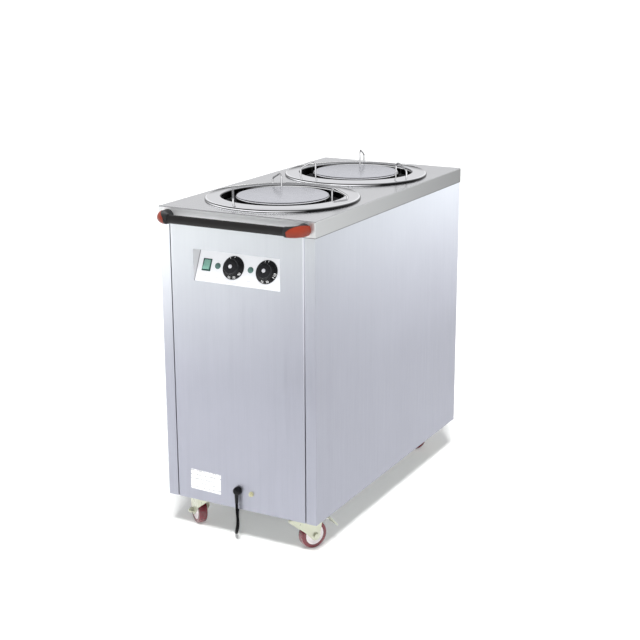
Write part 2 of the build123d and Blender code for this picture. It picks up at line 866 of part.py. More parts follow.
def make_fork():
    """Pressed fork, open below and behind: a bridge with two cheeks that taper to the axle."""
    ear_z = fork_top - fork_ear_drop
    outline = Polyline(
        (-fork_tip, fork_top),
        (-fork_tip, fork_top - fork_tip_depth),
        (fork_waist_x, wheel_radius + fork_waist_rise),
        (trail - fork_eye_radius * 0.75, wheel_radius - fork_eye_radius * 0.66),
        (trail + fork_eye_radius * 0.9, wheel_radius - fork_eye_radius * 0.3),
        (fork_ear_x + fork_ear_radius * 0.8, ear_z - fork_ear_radius * 0.6),
        (fork_ear_x + fork_ear_radius * 0.7, ear_z + fork_ear_radius * 0.7),
        (fork_ear_x - fork_ear_radius, fork_top),
        close=True,
    )
    side = make_face(outline) + Pos(trail, wheel_radius) * Circle(fork_eye_radius)
    side += Pos(fork_ear_x, ear_z) * Circle(fork_ear_radius)
    side -= Pos(trail, wheel_radius) * Circle(axle_radius + axle_clearance)
    side -= Pos(fork_ear_x, ear_z) * Circle(pedal_pin_radius + axle_clearance)
    plan = fork_plan()
    gap = fork_half - fork_sheet
    inside = offset(plan, amount=-fork_sheet) + Pos(trail, 0) * Rectangle(2 * fork_ear_x, 2 * gap)
    fork = extrude(Plane.XZ * side, amount=fork_half, both=True) & extrude(plan, amount=fork_top)
    fork -= extrude(inside, amount=fork_top - fork_sheet)
    fork -= rod(fork_top - 2 * fork_sheet, fork_top + 1, kingpin_radius + axle_clearance)
    return fork


def make_wheel_hub():
    """Moulded wheel centre: rim, web and bored hub."""
    rim_half = tyre_width / 2 - 1
    rim_inner = rim_radius - rim_thickness
    profile = [
        (axle_radius + axle_clearance, -hub_width / 2),
        (hub_radius, -hub_width / 2),
        (hub_radius, -web_thickness / 2),
        (rim_inner - 1, -web_thickness / 2),
        (rim_inner, -rim_half),
        (rim_radius, -rim_half),
        (rim_radius, rim_half),
        (rim_inner, rim_half),
        (rim_inner - 1, web_thickness / 2),
        (hub_radius, web_thickness / 2),
        (hub_radius, hub_width / 2),
        (axle_radius + axle_clearance, hub_width / 2),
    ]
    return Pos(trail, 0, wheel_radius) * Rot(90, 0, 0) * turned(profile)


def make_tyre():
    """Tyre with rounded shoulders, bonded to the rim."""
    section = Pos((rim_radius + wheel_radius) / 2, 0) * Rectangle(wheel_radius - rim_radius, tyre_width)
    outer = section.vertices().sort_by(Axis.X)[-2:]
    section = fillet(outer, tyre_shoulder)
    ring = revolve(Rot(90, 0, 0) * section, Axis.Z)
    return Pos(trail, 0, wheel_radius) * Rot(90, 0, 0) * ring


def make_axle():
    """Axle bolt with its hexagon head and its lock nut outside the cheeks."""
    bolt = rod(-fork_half - nut_height - axle_tail, fork_half + bolt_head, axle_radius)
    bolt += hexagon(-fork_half - nut_height, -fork_half, nut_width)
    bolt += hexagon(fork_half, fork_half + bolt_head, nut_width)
    return Pos(trail, 0, wheel_radius) * Rot(90, 0, 0) * bolt


def make_pedal():
    """Brake pedal: a barrel between the ears of the fork, an arm and a wide bent tread."""
    ear_z = fork_top - fork_ear_drop
    tread_line = [
        (pedal_tread_x, ear_z - pedal_tread_drop),
        (pedal_neck_x, ear_z - pedal_neck_drop),
        (pedal_toe_x, ear_z - pedal_toe_drop),
    ]
    arm = make_face(offset(Polyline((fork_ear_x, ear_z), *tread_line), amount=pedal_sheet, side=Side.LEFT))
    tread = make_face(offset(Polyline(*tread_line), amount=pedal_sheet, side=Side.LEFT))
    inner_half = fork_half - fork_sheet - pedal_gap
    pedal = extrude(Plane.XZ * arm, amount=inner_half, both=True)
    pedal += extrude(Plane.XZ * tread, amount=pedal_tread_width / 2, both=True)
    across = Pos(fork_ear_x, 0, ear_z) * Rot(90, 0, 0)
    pedal += across * Cylinder(pedal_barrel_radius, 2 * inner_half)
    pedal += across * Cylinder(pedal_pin_radius, 2 * fork_half)
    return pedal


# Mains lead
def lead_path():
    """Free route: straight runs joined by tangent arcs, and the radii of those arcs."""
    start = Vector(gland_x, panel_front - relief_axis, gland_height - relief_length)
    points = [start, start - Vector(0, 0, lead_drop)]
    points += [Vector(x, front_y + behind, cord_radius + lift) for x, behind, lift in cord_route]
    points.append(Vector(coil_x - coil_radius, coil_y - coil_entry, cord_radius))
    radii = []
    for before, here, after in zip(points, points[1:], points[2:]):
        shorter = min((here - before).length, (after - here).length)
        turn = math.radians((here - before).get_angle(after - here))
        radii.append(0.45 * shorter / math.tan(turn / 2))
    return FilletPolyline(*points, radius=radii), radii


def make_cord():
    """Tube of the lead from the gland to the coil."""
    path, _ = lead_path()
    section = Plane(origin=path @ 0, z_dir=path % 0) * Circle(cord_radius)
    return sweep(section, path=path)


def half_turn(start, radius, towards, rise):
    """Half a turn from a point, across in X, that may climb; its ends stay level along Y."""
    reach = math.hypot(radius, rise / 2)
    middle = start + Vector(towards * radius, towards * reach, rise / 2)
    end = start + Vector(towards * 2 * radius, 0, rise)
    return ThreePointArc(start, middle, end).edge(), end


def coil_path():
    """Flat spiral inwards, one climbing half turn, then a flat spiral out on top of it."""
    step = coil_rise / 2
    inward = [coil_radius - step * i for i in range(coil_half_turns)]
    middle_radius = coil_radius - step * coil_half_turns
    here = Vector(coil_x - coil_radius, coil_y, cord_radius)
    edges = [Line(here - Vector(0, coil_entry, 0), here).edge()]
    towards = 1
    turns = [(radius, 0) for radius in inward]
    turns += [(middle_radius, coil_rise)] + turns[::-1]
    for radius, rise in turns:
        edge, here = half_turn(here, radius, towards, rise)
        edges.append(edge)
        towards = -towards
    edges.append(Line(here, here - Vector(0, coil_entry, 0)).edge())
    return Wire(edges), edges, here - Vector(0, coil_entry, 0)


def make_coil():
    """One unbroken tube along the coil."""
    path, _, _ = coil_path()
    section = Plane(origin=path @ 0, z_dir=(0, 1, 0)) * Circle(cord_radius)
    return sweep(section, path=path)


def make_plug():
    """Moulded plug lying beside the coil: strain relief, body and blades."""
    _, _, tail = coil_path()
    height = 2 * coil_level
    outward = Plane(origin=tail, x_dir=(1, 0, 0), z_dir=(0, -1, 0))
    relief = Cone(cord_radius, cord_radius * 1.7, plug_relief, align=BOTTOM)
    body = Box(plug_width, height, plug_length, align=BOTTOM)
    body = chamfer(body.edges().filter_by(Axis.Z), plug_edge)
    body = fillet(body.faces().sort_by(Axis.Z)[-1].edges(), plug_edge / 2)
    plug = relief + Pos(0, 0, plug_relief) * body
    for sign in (-1, 1):
        blade = Box(pin_thickness, pin_width, pin_length, align=BOTTOM)
        plug += Pos(sign * pin_pitch / 2, -pin_width / 3, plug_relief + plug_length) * blade
    blade = Box(pin_width, pin_thickness, pin_length, align=BOTTOM)
    plug += Pos(0, pin_width, plug_relief + plug_length) * blade
    return outward * plug


def report_cord():
    """Print the lead's radii, its length and the least gap of the coil to itself."""
    path, radii = lead_path()
    coil_wire, edges, _ = coil_path()
    print("cord radii", [round(r) for r in radii])
    print("cord length", round(path.length + coil_wire.length))
    samples = []
    along = 0.0
    for edge in edges:
        count = max(2, int(edge.length / 2))
        for i in range(count):
            samples.append((along + edge.length * i / count, edge @ (i / count)))
        along += edge.length
    least = min(
        (a - b).length
        for s, a in samples
        for t, b in samples
        if t - s > 8 * cord_radius
    )
    print("coil least gap", round(least - 2 * cord_radius, 2))


def write_step(name, shape):
    """Write one node, as one solid or as a group of separate solids."""
    solids = shape if isinstance(shape, list) else [shape]
    found = [solid for item in solids for solid in item.solids()]
    whole = found[0] if len(found) == 1 else Compound(children=found)
    export_step(whole, os.path.join("parts", name + ".step"))


def build():
    """Make every node and write it."""
    os.makedirs("parts", exist_ok=True)
    write_step("worktop", make_worktop())
    write_step("front_panel", make_front_panel())
    write_step("rear_panel", make_end_panel(panel_rear, -1))
    write_step("left_panel", make_side_panel(-1))
    write_step("right_panel", make_side_panel(1))
    write_step("base_pan", make_base_pan())
    write_step("control_panel", make_control_panel())
    write_step("switch_housing", make_switch_housing())
    write_step("switch_rocker", make_switch_rocker())
    write_step("pilot_lamps", make_pilot_lamps())
    write_step("thermostats", make_thermostats())
    for name, x in zip(("left", "right"), knob_xs):
        write_step(name + "_spindle", make_spindle(x))
        write_step(name + "_knob", make_knob(x))
    write_step("handle_tube", make_handle_tube())
    write_step("handle_brackets", make_handle_brackets())
    write_step("handle_caps", make_handle_caps())
    write_step("cable_gland", make_cable_gland())
    write_step("earth_terminal", make_earth_terminal())
    write_step("heaters", make_heaters())
    for well, name in enumerate(("front", "rear")):
        write_step(name + "_collar", make_collar(well))
        write_step(name + "_well", make_well(well))
        write_step(name + "_platform", make_platform(well))
        write_step(name + "_carrier", make_carrier(well))
        write_step(name + "_springs", make_springs(well))
    for name, well, socket_angle, turn, apex_share in guides:
        write_step(name, make_guide(well, socket_angle, turn, apex_share))
    write_step("caster_plates", make_caster_plates())
    write_step("caster_bolts", make_caster_bolts())
    for name, side, end, heading, braked in casters:
        frame = caster_frame(side, end, heading)
        write_step(name + "_fork", frame * make_fork())
        write_step(name + "_hub", frame * make_wheel_hub())
        write_step(name + "_tyre", frame * make_tyre())
        write_step(name + "_axle", frame * make_axle())
        if braked:
            write_step(name + "_pedal", frame * make_pedal())
    write_step("cord", make_cord())
    write_step("cord_coil", make_coil())
    write_step("cord_plug", make_plug())
    report_cord()


build()
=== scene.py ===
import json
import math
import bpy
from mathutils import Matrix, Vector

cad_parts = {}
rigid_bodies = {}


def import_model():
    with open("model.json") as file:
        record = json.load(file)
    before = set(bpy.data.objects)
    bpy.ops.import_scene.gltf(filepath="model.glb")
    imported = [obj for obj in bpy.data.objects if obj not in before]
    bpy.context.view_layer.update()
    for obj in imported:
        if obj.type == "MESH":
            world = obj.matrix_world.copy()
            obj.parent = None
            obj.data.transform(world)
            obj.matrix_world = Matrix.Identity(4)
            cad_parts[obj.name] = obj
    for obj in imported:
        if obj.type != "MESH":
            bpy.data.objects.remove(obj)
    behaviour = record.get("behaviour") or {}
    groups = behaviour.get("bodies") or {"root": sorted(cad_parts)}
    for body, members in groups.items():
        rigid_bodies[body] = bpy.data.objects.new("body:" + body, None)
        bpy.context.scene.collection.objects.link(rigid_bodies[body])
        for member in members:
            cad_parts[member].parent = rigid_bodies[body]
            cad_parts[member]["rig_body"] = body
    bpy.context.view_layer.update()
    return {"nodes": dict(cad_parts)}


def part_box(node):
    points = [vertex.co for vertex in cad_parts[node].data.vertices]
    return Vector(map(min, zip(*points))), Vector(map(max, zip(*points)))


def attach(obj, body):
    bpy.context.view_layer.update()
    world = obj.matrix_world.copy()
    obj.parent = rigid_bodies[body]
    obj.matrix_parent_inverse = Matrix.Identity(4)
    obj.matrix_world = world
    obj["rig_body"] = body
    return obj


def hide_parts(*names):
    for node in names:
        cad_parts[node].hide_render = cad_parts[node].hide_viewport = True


bl_info = {
    "name": "Plate Dispenser Trolley",
    "version": (1, 0, 0),
    "blender": (4, 5, 0),
    "location": "View3D > Sidebar > Trolley",
    "description": "Dresses the packed trolley: steel, wells, controls, casters, lead and studio",
    "category": "Object",
}

import bmesh
import bpy
import numpy as np
from bpy.props import FloatProperty, FloatVectorProperty, IntProperty, PointerProperty
from mathutils import Matrix, Vector

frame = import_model()

TOP_LOW, TOP_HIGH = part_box("worktop")
FRONT = TOP_LOW.y
REAR = TOP_HIGH.y
MIDDLE = (FRONT + REAR) / 2
HALF_LENGTH = (REAR - FRONT) / 2
HALF_WIDTH = TOP_HIGH.x
TOP = TOP_HIGH.z
APRON_FOOT = TOP - 0.04
BODY_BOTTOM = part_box("front_panel")[0].z
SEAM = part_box("front_panel")[1].x
PANEL_FACE = FRONT + 0.0018
PLATFORM_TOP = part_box("front_platform")[1].z
WELL_OFFSET = 0.2105
WELLS = {"front": MIDDLE - WELL_OFFSET, "rear": MIDDLE + WELL_OFFSET}
CABINET = "cabinet"
BLACK = (0.0, 0.0, 0.0)
SHARP_ANGLE = 35
QUARTER = math.pi / 2

# Levels at which the panels' painted reflection and shade are set
PANEL_LEVELS = (BODY_BOTTOM, 0.38, 0.5, 0.68, APRON_FOOT)

# Sloping fascia: x across, y up the slope, z out of it
FASCIA_SLOPE = math.atan2(0.037, 0.0825)
FASCIA_PLACE = (0.001, FRONT + 0.003, 0.7)
CHEEK = -0.1255
CEILING = 0.782
CONTROL_ROW = 0.044
KNOBS = {"left": -0.0183, "right": 0.0785}
LAMPS = (-0.0653, 0.0311)
# Legend bars: x, y and width
LEGENDS = ((-0.0978, 0.0165, 0.008), (-0.0653, 0.0150, 0.012), (0.0311, 0.0150, 0.012))
KNOB_LEGEND = (0.0055, 0.034)
# Dials: numbers by their angle in degrees, and the angles of the ticks
DIALS = {
    "left": (((-102, "50"), (-71, "70"), (-34, "90")), (117, 89)),
    "right": (((-103, "50"), (-71, "70"), (-18, "110")), (108, 86)),
}
DIAL_SLOPE = math.atan2(0.0034, 0.009)

# Guides: well, socket angle, turn from radial in degrees, apex above the worktop
GUIDE_CIRCLE = 0.177
GUIDES = {
    "front_guide_left": ("front", 255.2, 46.7, 0.03792),
    "front_guide_right": ("front", 10.3, -9.8, 0.0312),
    "front_guide_rear": ("front", 128.7, 22.9, 0.03984),
    "rear_guide_left": ("rear", 235.9, -5.0, 0.048),
    "rear_guide_right": ("rear", -9.9, -14.2, 0.04416),
    "rear_guide_rear": ("rear", 108.9, -7.6, 0.048),
}

# Casters: x and y of the swivel, heading of the trail in degrees
CASTER_OFFSET = 0.4
CASTERS = {
    "front_left": (-0.1532, MIDDLE - CASTER_OFFSET, 143.0),
    "front_right": (0.1628, MIDDLE - CASTER_OFFSET, 62.0),
    "rear_left": (-0.1302, MIDDLE + CASTER_OFFSET, 150.0),
    "rear_right": (0.1398, MIDDLE + CASTER_OFFSET, 208.0),
}
TRAIL = 0.026
WHEEL_RADIUS = 0.0375

# Camera: azimuth, elevation and roll in degrees, and its place
CAMERA_ANGLES = (28.4446, 15.8131, -0.1985)
CAMERA_PLACE = (1.6995, MIDDLE - 3.1460, 1.5122)


# Shapes


def shift(x, y, z):
    """Matrix that moves."""
    return Matrix.Translation((x, y, z))


def spin(angle, axis):
    """Matrix that turns about an axis through the origin."""
    return Matrix.Rotation(angle, 4, axis)


FASCIA = shift(*FASCIA_PLACE) @ spin(QUARTER - FASCIA_SLOPE, "X")


def unit(vector):
    return vector / np.linalg.norm(vector)


def rounded(points, radii, steps=8):
    """Line through points whose corners are arcs: from the arc's centre, the direction turns
    evenly (a spherical mix) from one tangent point to the other."""
    points = np.asarray(points, float)
    share = np.linspace(0, 1, steps + 1)[:, None]
    line = [points[:1]]
    for before, here, after, radius in zip(points, points[1:], points[2:], radii):
        back, ahead = unit(before - here), unit(after - here)
        half = math.acos(np.clip(back @ ahead, -1, 1)) / 2
        centre = here + unit(back + ahead) * radius / math.sin(half)
        reach = radius / math.tan(half)
        first, last = here + back * reach - centre, here + ahead * reach - centre
        turn = math.pi - 2 * half
        arc = np.sin((1 - share) * turn) * first + np.sin(share * turn) * last
        line.append(centre + arc / math.sin(turn))
    line.append(points[-1:])
    return np.concatenate(line)


def turned(profile, segments=96, closed=False):
    """Surface of revolution about Z: (r, h) at angle a is (r cos a, r sin a, h). A closed
    profile also joins its last point to its first."""
    radius, height = np.asarray(profile, float).T
    angle = np.linspace(0, 2 * np.pi, segments, endpoint=False)[:, None]
    heights = np.broadcast_to(height, (segments, len(height)))
    grid = np.stack([np.cos(angle) * radius, np.sin(angle) * radius, heights], axis=-1)
    return surface(grid, wrap_rows=True, wrap_columns=closed)


def circle(radius, count=16):
    """Points (r cos a, r sin a) at even angles."""
    angle = np.linspace(0, 2 * np.pi, count, endpoint=False)
    return np.stack([np.cos(angle), np.sin(angle)], -1) * radius


def around(radius, degrees):
    """Point at a radius and an angle about the origin."""
    angle = math.radians(degrees)
    return radius * math.cos(angle), radius * math.sin(angle)


def box_outline(half_x, half_y):
    """Corners of a rectangle about the origin."""
    return [(-half_x, -half_y), (half_x, -half_y), (half_x, half_y), (-half_x, half_y)]


def carried(path, section, side):
    """Closed section carried along a planar path: section point (u, v) goes to
    path + u side + v (tangent x side), and each end closes to a point."""
    path, side = np.asarray(path, float), np.asarray(side, float)
    tangent = np.gradient(path, axis=0)
    tangent /= np.linalg.norm(tangent, axis=1, keepdims=True)
    across = np.cross(tangent, side)
    path = np.concatenate([path[:1], path, path[-1:]])
    across = np.concatenate([across[:1], across, across[-1:]])
    size = np.ones((len(path), 1, 1))
    size[0] = size[-1] = 0
    offset = section[None] * size
    grid = path[:, None] + offset[..., :1] * side + offset[..., 1:] * across[:, None]
    return surface(grid, wrap_columns=True)


def surface(grid, wrap_rows=False, wrap_columns=False):
    """Points and quads of a grid of points, joined round where it wraps."""
    rows, columns = grid.shape[:2]
    index = np.arange(rows * columns).reshape(rows, columns)
    below = np.roll(index, -1, 0)
    quads = np.stack([index, below, np.roll(below, -1, 1), np.roll(index, -1, 1)], -1)
    quads = quads[: rows if wrap_rows else rows - 1, : columns if wrap_columns else columns - 1]
    return grid.reshape(-1, 3), quads.reshape(-1, 4)


def slab(outline, low, high, edge):
    """Flat plate between two heights with softened rims: the outline shrinks by edge at both
    faces, and each face closes on its centre."""
    outline = np.asarray(outline, float)
    centre = np.broadcast_to(outline.mean(0), outline.shape)
    inward = centre - outline
    inward /= np.linalg.norm(inward, axis=1, keepdims=True)
    face = outline + inward * edge
    shapes = [centre, face, outline, outline, face, centre]
    heights = [low, low, low + edge, high - edge, high, high]
    grid = np.stack(
        [np.concatenate([s, np.full((len(s), 1), h)], axis=1) for s, h in zip(shapes, heights)]
    )
    return surface(grid, wrap_columns=True)


def placed(shape, matrix):
    """A shape's points moved by a 4 by 4 matrix."""
    points, faces = shape
    matrix = np.asarray(matrix, float)
    return points @ matrix[:3, :3].T + matrix[:3, 3], faces


def joined(shapes):
    """Several shapes as one."""
    starts = np.cumsum([0] + [len(points) for points, _ in shapes[:-1]])
    points = np.concatenate([points for points, _ in shapes])
    faces = np.concatenate([faces + start for (_, faces), start in zip(shapes, starts)])
    return points, faces


# Pieces and nodes


def linked(name, data):
    """New object in the scene."""
    obj = bpy.data.objects.new(name, data)
    bpy.context.scene.collection.objects.link(obj)
    return obj


def finished(obj, material, body, replaced=(), sharp=SHARP_ANGLE):
    """Gives a piece its material, shading and body, and hides the nodes it replaces."""
    dressed(obj, material)
    if obj.type == "MESH":
        obj.data.polygons.foreach_set("use_smooth", np.ones(len(obj.data.polygons), bool))
        obj.data.set_sharp_from_angle(angle=math.radians(sharp))
    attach(obj, body)
    if replaced:
        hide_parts(*replaced)
    return obj


def make_piece(name, shapes, material, body, replaced=()):
    """One mesh from shapes: doubles merged, normals turned outwards."""
    points, faces = joined(shapes)
    mesh = bpy.data.meshes.new(name)
    mesh.from_pydata(points.tolist(), [], faces.tolist())
    bm = bmesh.new()
    bm.from_mesh(mesh)
    bmesh.ops.remove_doubles(bm, verts=bm.verts, dist=2e-7)
    bmesh.ops.recalc_face_normals(bm, faces=bm.faces)
    bm.to_mesh(mesh)
    bm.free()
    return finished(linked(name, mesh), material, body, replaced)


def refine_node(node, material, bevel=0.0004, sharp=30):
    """Copy of a CAD node with its triangles merged into whole faces and its edges softened."""
    source = frame["nodes"][node]
    mesh = source.data.copy()
    mesh.name = node + "_fine"
    bm = bmesh.new()
    bm.from_mesh(mesh)
    bmesh.ops.remove_doubles(bm, verts=bm.verts, dist=1e-6)
    bmesh.ops.dissolve_limit(
        bm, angle_limit=math.radians(1.0), verts=bm.verts, edges=bm.edges, delimit={"NORMAL"}
    )
    bm.to_mesh(mesh)
    bm.free()
    obj = linked(node + "_fine", mesh)
    finished(obj, material, source["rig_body"], [node], sharp)
    if bevel:
        soften = obj.modifiers.new("Softened edges", "BEVEL")
        soften.width = bevel
        soften.segments = 2
        soften.limit_method = "ANGLE"
        soften.angle_limit = math.radians(sharp)
        soften.harden_normals = False


def dressed(obj, material):
    obj.data.materials.clear()
    obj.data.materials.append(material)


def dress_node(node, material):
    """Gives a CAD node that keeps its own mesh a material."""
    dressed(frame["nodes"][node], material)


# Shader nodes


def feed(tree, value, socket):
    """Links an output to a socket, or sets the socket to a number or a colour."""
    if isinstance(value, bpy.types.NodeSocket):
        tree.links.new(value, socket)
    else:
        socket.default_value = (*value, 1) if isinstance(value, tuple) else value


def source(socket):
    """The output that feeds a socket."""
    return socket.links[0].from_socket


def coordinates(tree, space="Object"):
    return tree.nodes.new("ShaderNodeTexCoord").outputs[space]


def separated(tree, space="Object"):
    """Coordinates split into X, Y and Z."""
    split = tree.nodes.new("ShaderNodeSeparateXYZ")
    feed(tree, coordinates(tree, space), split.inputs[0])
    return split.outputs


def noise(tree, where, scale, detail=2.0, roughness=0.5):
    """Noise, about 0 to 1, over a vector."""
    texture = tree.nodes.new("ShaderNodeTexNoise")
    feed(tree, where, texture.inputs["Vector"])
    feed(tree, scale, texture.inputs["Scale"])
    texture.inputs["Detail"].default_value = detail
    texture.inputs["Roughness"].default_value = roughness
    return texture.outputs["Fac"]


def ranged(tree, value, start, end, low=0.0, high=1.0):
    """Goes from low, where the value is start or less, to high, where it is end or more."""
    spread = tree.nodes.new("ShaderNodeMapRange")
    feed(tree, value, spread.inputs["Value"])
    ends = {"From Min": start, "From Max": end, "To Min": low, "To Max": high}
    for name, number in ends.items():
        spread.inputs[name].default_value = number
    return spread.outputs[0]


def falling(tree, value, start, end):
    """1 up to start and 0 from end on."""
    return ranged(tree, value, start, end, 1.0, 0.0)


def combined(tree, first, second, operation):
    """A math operation on two values."""
    node = tree.nodes.new("ShaderNodeMath")
    node.operation = operation
    feed(tree, first, node.inputs[0])
    feed(tree, second, node.inputs[1])
    return node.outputs[0]


def product(tree, first, *others):
    """All values multiplied."""
    for other in others:
        first = combined(tree, first, other, "MULTIPLY")
    return first


def from_middle(tree, y):
    """Y measured from the middle of the length."""
    return combined(tree, y, MIDDLE, "SUBTRACT")


def sharp_band(tree, value, edge, width):
    """1 where the absolute value of a coordinate passes edge, over a soft width."""
    return ranged(tree, combined(tree, value, 0.0, "ABSOLUTE"), edge - width, edge)


def mixed(tree, factor, first, second):
    """Value first where the factor is 0 and second where it is 1."""
    mix = tree.nodes.new("ShaderNodeMix")
    for slot, value in ((0, factor), (2, first), (3, second)):
        feed(tree, value, mix.inputs[slot])
    return mix.outputs[0]


def blended(tree, factor, first, second, blend="MIX"):
    """Colour first where the factor is 0 and second, or its blend over the first, where it
    is 1."""
    mix = tree.nodes.new("ShaderNodeMix")
    mix.data_type = "RGBA"
    mix.blend_type = blend
    for slot, value in ((0, factor), (6, first), (7, second)):
        feed(tree, value, mix.inputs[slot])
    return mix.outputs[2]


def ramped(tree, value, stops, interpolation="LINEAR"):
    """Colour ramp with stops of place and colour."""
    ramp = tree.nodes.new("ShaderNodeValToRGB")
    ramp.color_ramp.interpolation = interpolation
    points = ramp.color_ramp.elements
    for level, _ in stops[1:-1]:
        points.new(level)
    for point, (level, colour) in zip(points, stops):
        point.position = level
        point.color = (*colour, 1)
    feed(tree, value, ramp.inputs["Fac"])
    return ramp.outputs["Color"]


def by_height(tree, levels, colours, interpolation="LINEAR"):
    """Colour that changes with height: a ramp over Object Z from the first level to the last."""
    low, high = levels[0], levels[-1]
    places = [(level - low) / (high - low) for level in levels]
    share = ranged(tree, separated(tree)[2], low, high)
    return ramped(tree, share, list(zip(places, colours)), interpolation)


def greys(shades):
    return [(shade, shade, shade) for shade in shades]


def tinted(colour, factor):
    return tuple(min(1.0, c * factor) for c in colour)


def bumped(tree, height, strength, distance, shader):
    """Feeds a height into the shader's normal."""
    bump = tree.nodes.new("ShaderNodeBump")
    bump.inputs["Strength"].default_value = strength
    bump.inputs["Distance"].default_value = distance
    feed(tree, height, bump.inputs["Height"])
    feed(tree, bump.outputs["Normal"], shader.inputs["Normal"])


def lit(tree, light, shader):
    """Feeds a colour into the shader's glow."""
    feed(tree, light, shader.inputs["Emission Color"])
    shader.inputs["Emission Strength"].default_value = 1.0


# Shader node groups


def node_group(name, inputs, outputs):
    """Empty shader node group with named sockets."""
    group = bpy.data.node_groups.new(name, "ShaderNodeTree")
    for socket, kind, default in inputs:
        made = group.interface.new_socket(socket, in_out="INPUT", socket_type=kind)
        made.default_value = default
    for socket in outputs:
        group.interface.new_socket(socket, in_out="OUTPUT", socket_type="NodeSocketFloat")
    return group, group.nodes.new("NodeGroupInput"), group.nodes.new("NodeGroupOutput")


def brushed_group():
    """Fine brush lines: noise on Object coordinates stretched by Stretch, with broader bands."""
    name = "Brushed lines"
    if name in bpy.data.node_groups:
        return bpy.data.node_groups[name]
    sockets = [
        ("Stretch", "NodeSocketVector", (900.0, 900.0, 12.0)),
        ("Band share", "NodeSocketFloat", 0.3),
    ]
    group, inlet, outlet = node_group(name, sockets, ["Lines", "Blotches"])
    where = coordinates(group)
    stretch = group.nodes.new("ShaderNodeVectorMath")
    stretch.operation = "MULTIPLY"
    feed(group, where, stretch.inputs[0])
    feed(group, inlet.outputs["Stretch"], stretch.inputs[1])
    fine = noise(group, stretch.outputs[0], 1.0, 3.0)
    broad = noise(group, stretch.outputs[0], 0.12)
    lines = mixed(group, inlet.outputs["Band share"], fine, broad)
    feed(group, lines, outlet.inputs["Lines"])
    feed(group, noise(group, where, 5.0, 4.0, 0.6), outlet.inputs["Blotches"])
    return group


def grain_group():
    """Fine moulded or cast grain: two sizes of noise on Object coordinates."""
    name = "Moulded grain"
    if name in bpy.data.node_groups:
        return bpy.data.node_groups[name]
    sockets = [("Scale", "NodeSocketFloat", 900.0)]
    group, inlet, outlet = node_group(name, sockets, ["Grain", "Blotches"])
    where = coordinates(group)
    feed(group, noise(group, where, inlet.outputs["Scale"], 3.0), outlet.inputs["Grain"])
    feed(group, noise(group, where, 28.0, 3.0), outlet.inputs["Blotches"])
    return group


def group_outputs(tree, group, inputs):
    """Places a node group with its inputs set by name."""
    node = tree.nodes.new("ShaderNodeGroup")
    node.node_tree = group
    for name, value in inputs.items():
        node.inputs[name].default_value = value
    return node.outputs


# Materials


def new_material(name, constants):
    """Material with a Principled shader, whose plain sockets are set by name."""
    material = bpy.data.materials.new(name)
    material.use_nodes = True
    tree, shader = opened(material)
    for socket, value in constants.items():
        feed(tree, value, shader.inputs[socket.replace("_", " ")])
    return material


def opened(material):
    """A material's node tree and its Principled shader."""
    return material.node_tree, material.node_tree.nodes["Principled BSDF"]


def glow(colour, strength=1.0):
    """Constants for a glow of the material's own."""
    return {"Emission_Color": colour, "Emission_Strength": strength}


def patterned(name, marks, colour, shade, roughness, bump, constants):
    """Material on a pattern group: its first output spreads the roughness between two values,
    its blotches take the colour down to shade, and one output raises the surface."""
    material = new_material(name, constants)
    tree, shader = opened(material)
    outputs = group_outputs(tree, *marks)
    feed(tree, ranged(tree, outputs[0], 0.3, 0.7, *roughness), shader.inputs["Roughness"])
    factor = ranged(tree, outputs["Blotches"], 0.3, 0.7)
    tint = blended(tree, factor, tinted(colour, shade), colour)
    feed(tree, tint, shader.inputs["Base Color"])
    output, strength, distance = bump
    bumped(tree, outputs[output], strength, distance, shader)
    return material


def brushed_metal(name, colour, stretch, roughness, bump=0.15, shade=0.965, metallic=1.0):
    """Metal with brush lines and soft handling blotches."""
    return patterned(
        name,
        (brushed_group(), {"Stretch": stretch}),
        colour,
        shade,
        (roughness * 0.85, roughness * 1.2),
        ("Lines", bump, 0.0002),
        {"Metallic": metallic},
    )


def polished_metal(name, colour, roughness, ripple=0.05, **constants):
    """Bright metal with faint ripples and polishing haze."""
    return patterned(
        name,
        (grain_group(), {"Scale": 60.0}),
        colour,
        0.94,
        (roughness * 0.7, roughness * 1.4),
        ("Blotches", ripple, 0.002),
        {"Metallic": 1.0, **constants},
    )


def moulded(name, colour, roughness, bump=0.1, scale=900.0, vary=0.85, **constants):
    """Plastic, rubber or paint with a fine grain and small changes of shade."""
    return patterned(
        name,
        (grain_group(), {"Scale": scale}),
        colour,
        vary,
        (roughness * 0.85, roughness * 1.15),
        ("Grain", bump, 0.0002),
        constants,
    )


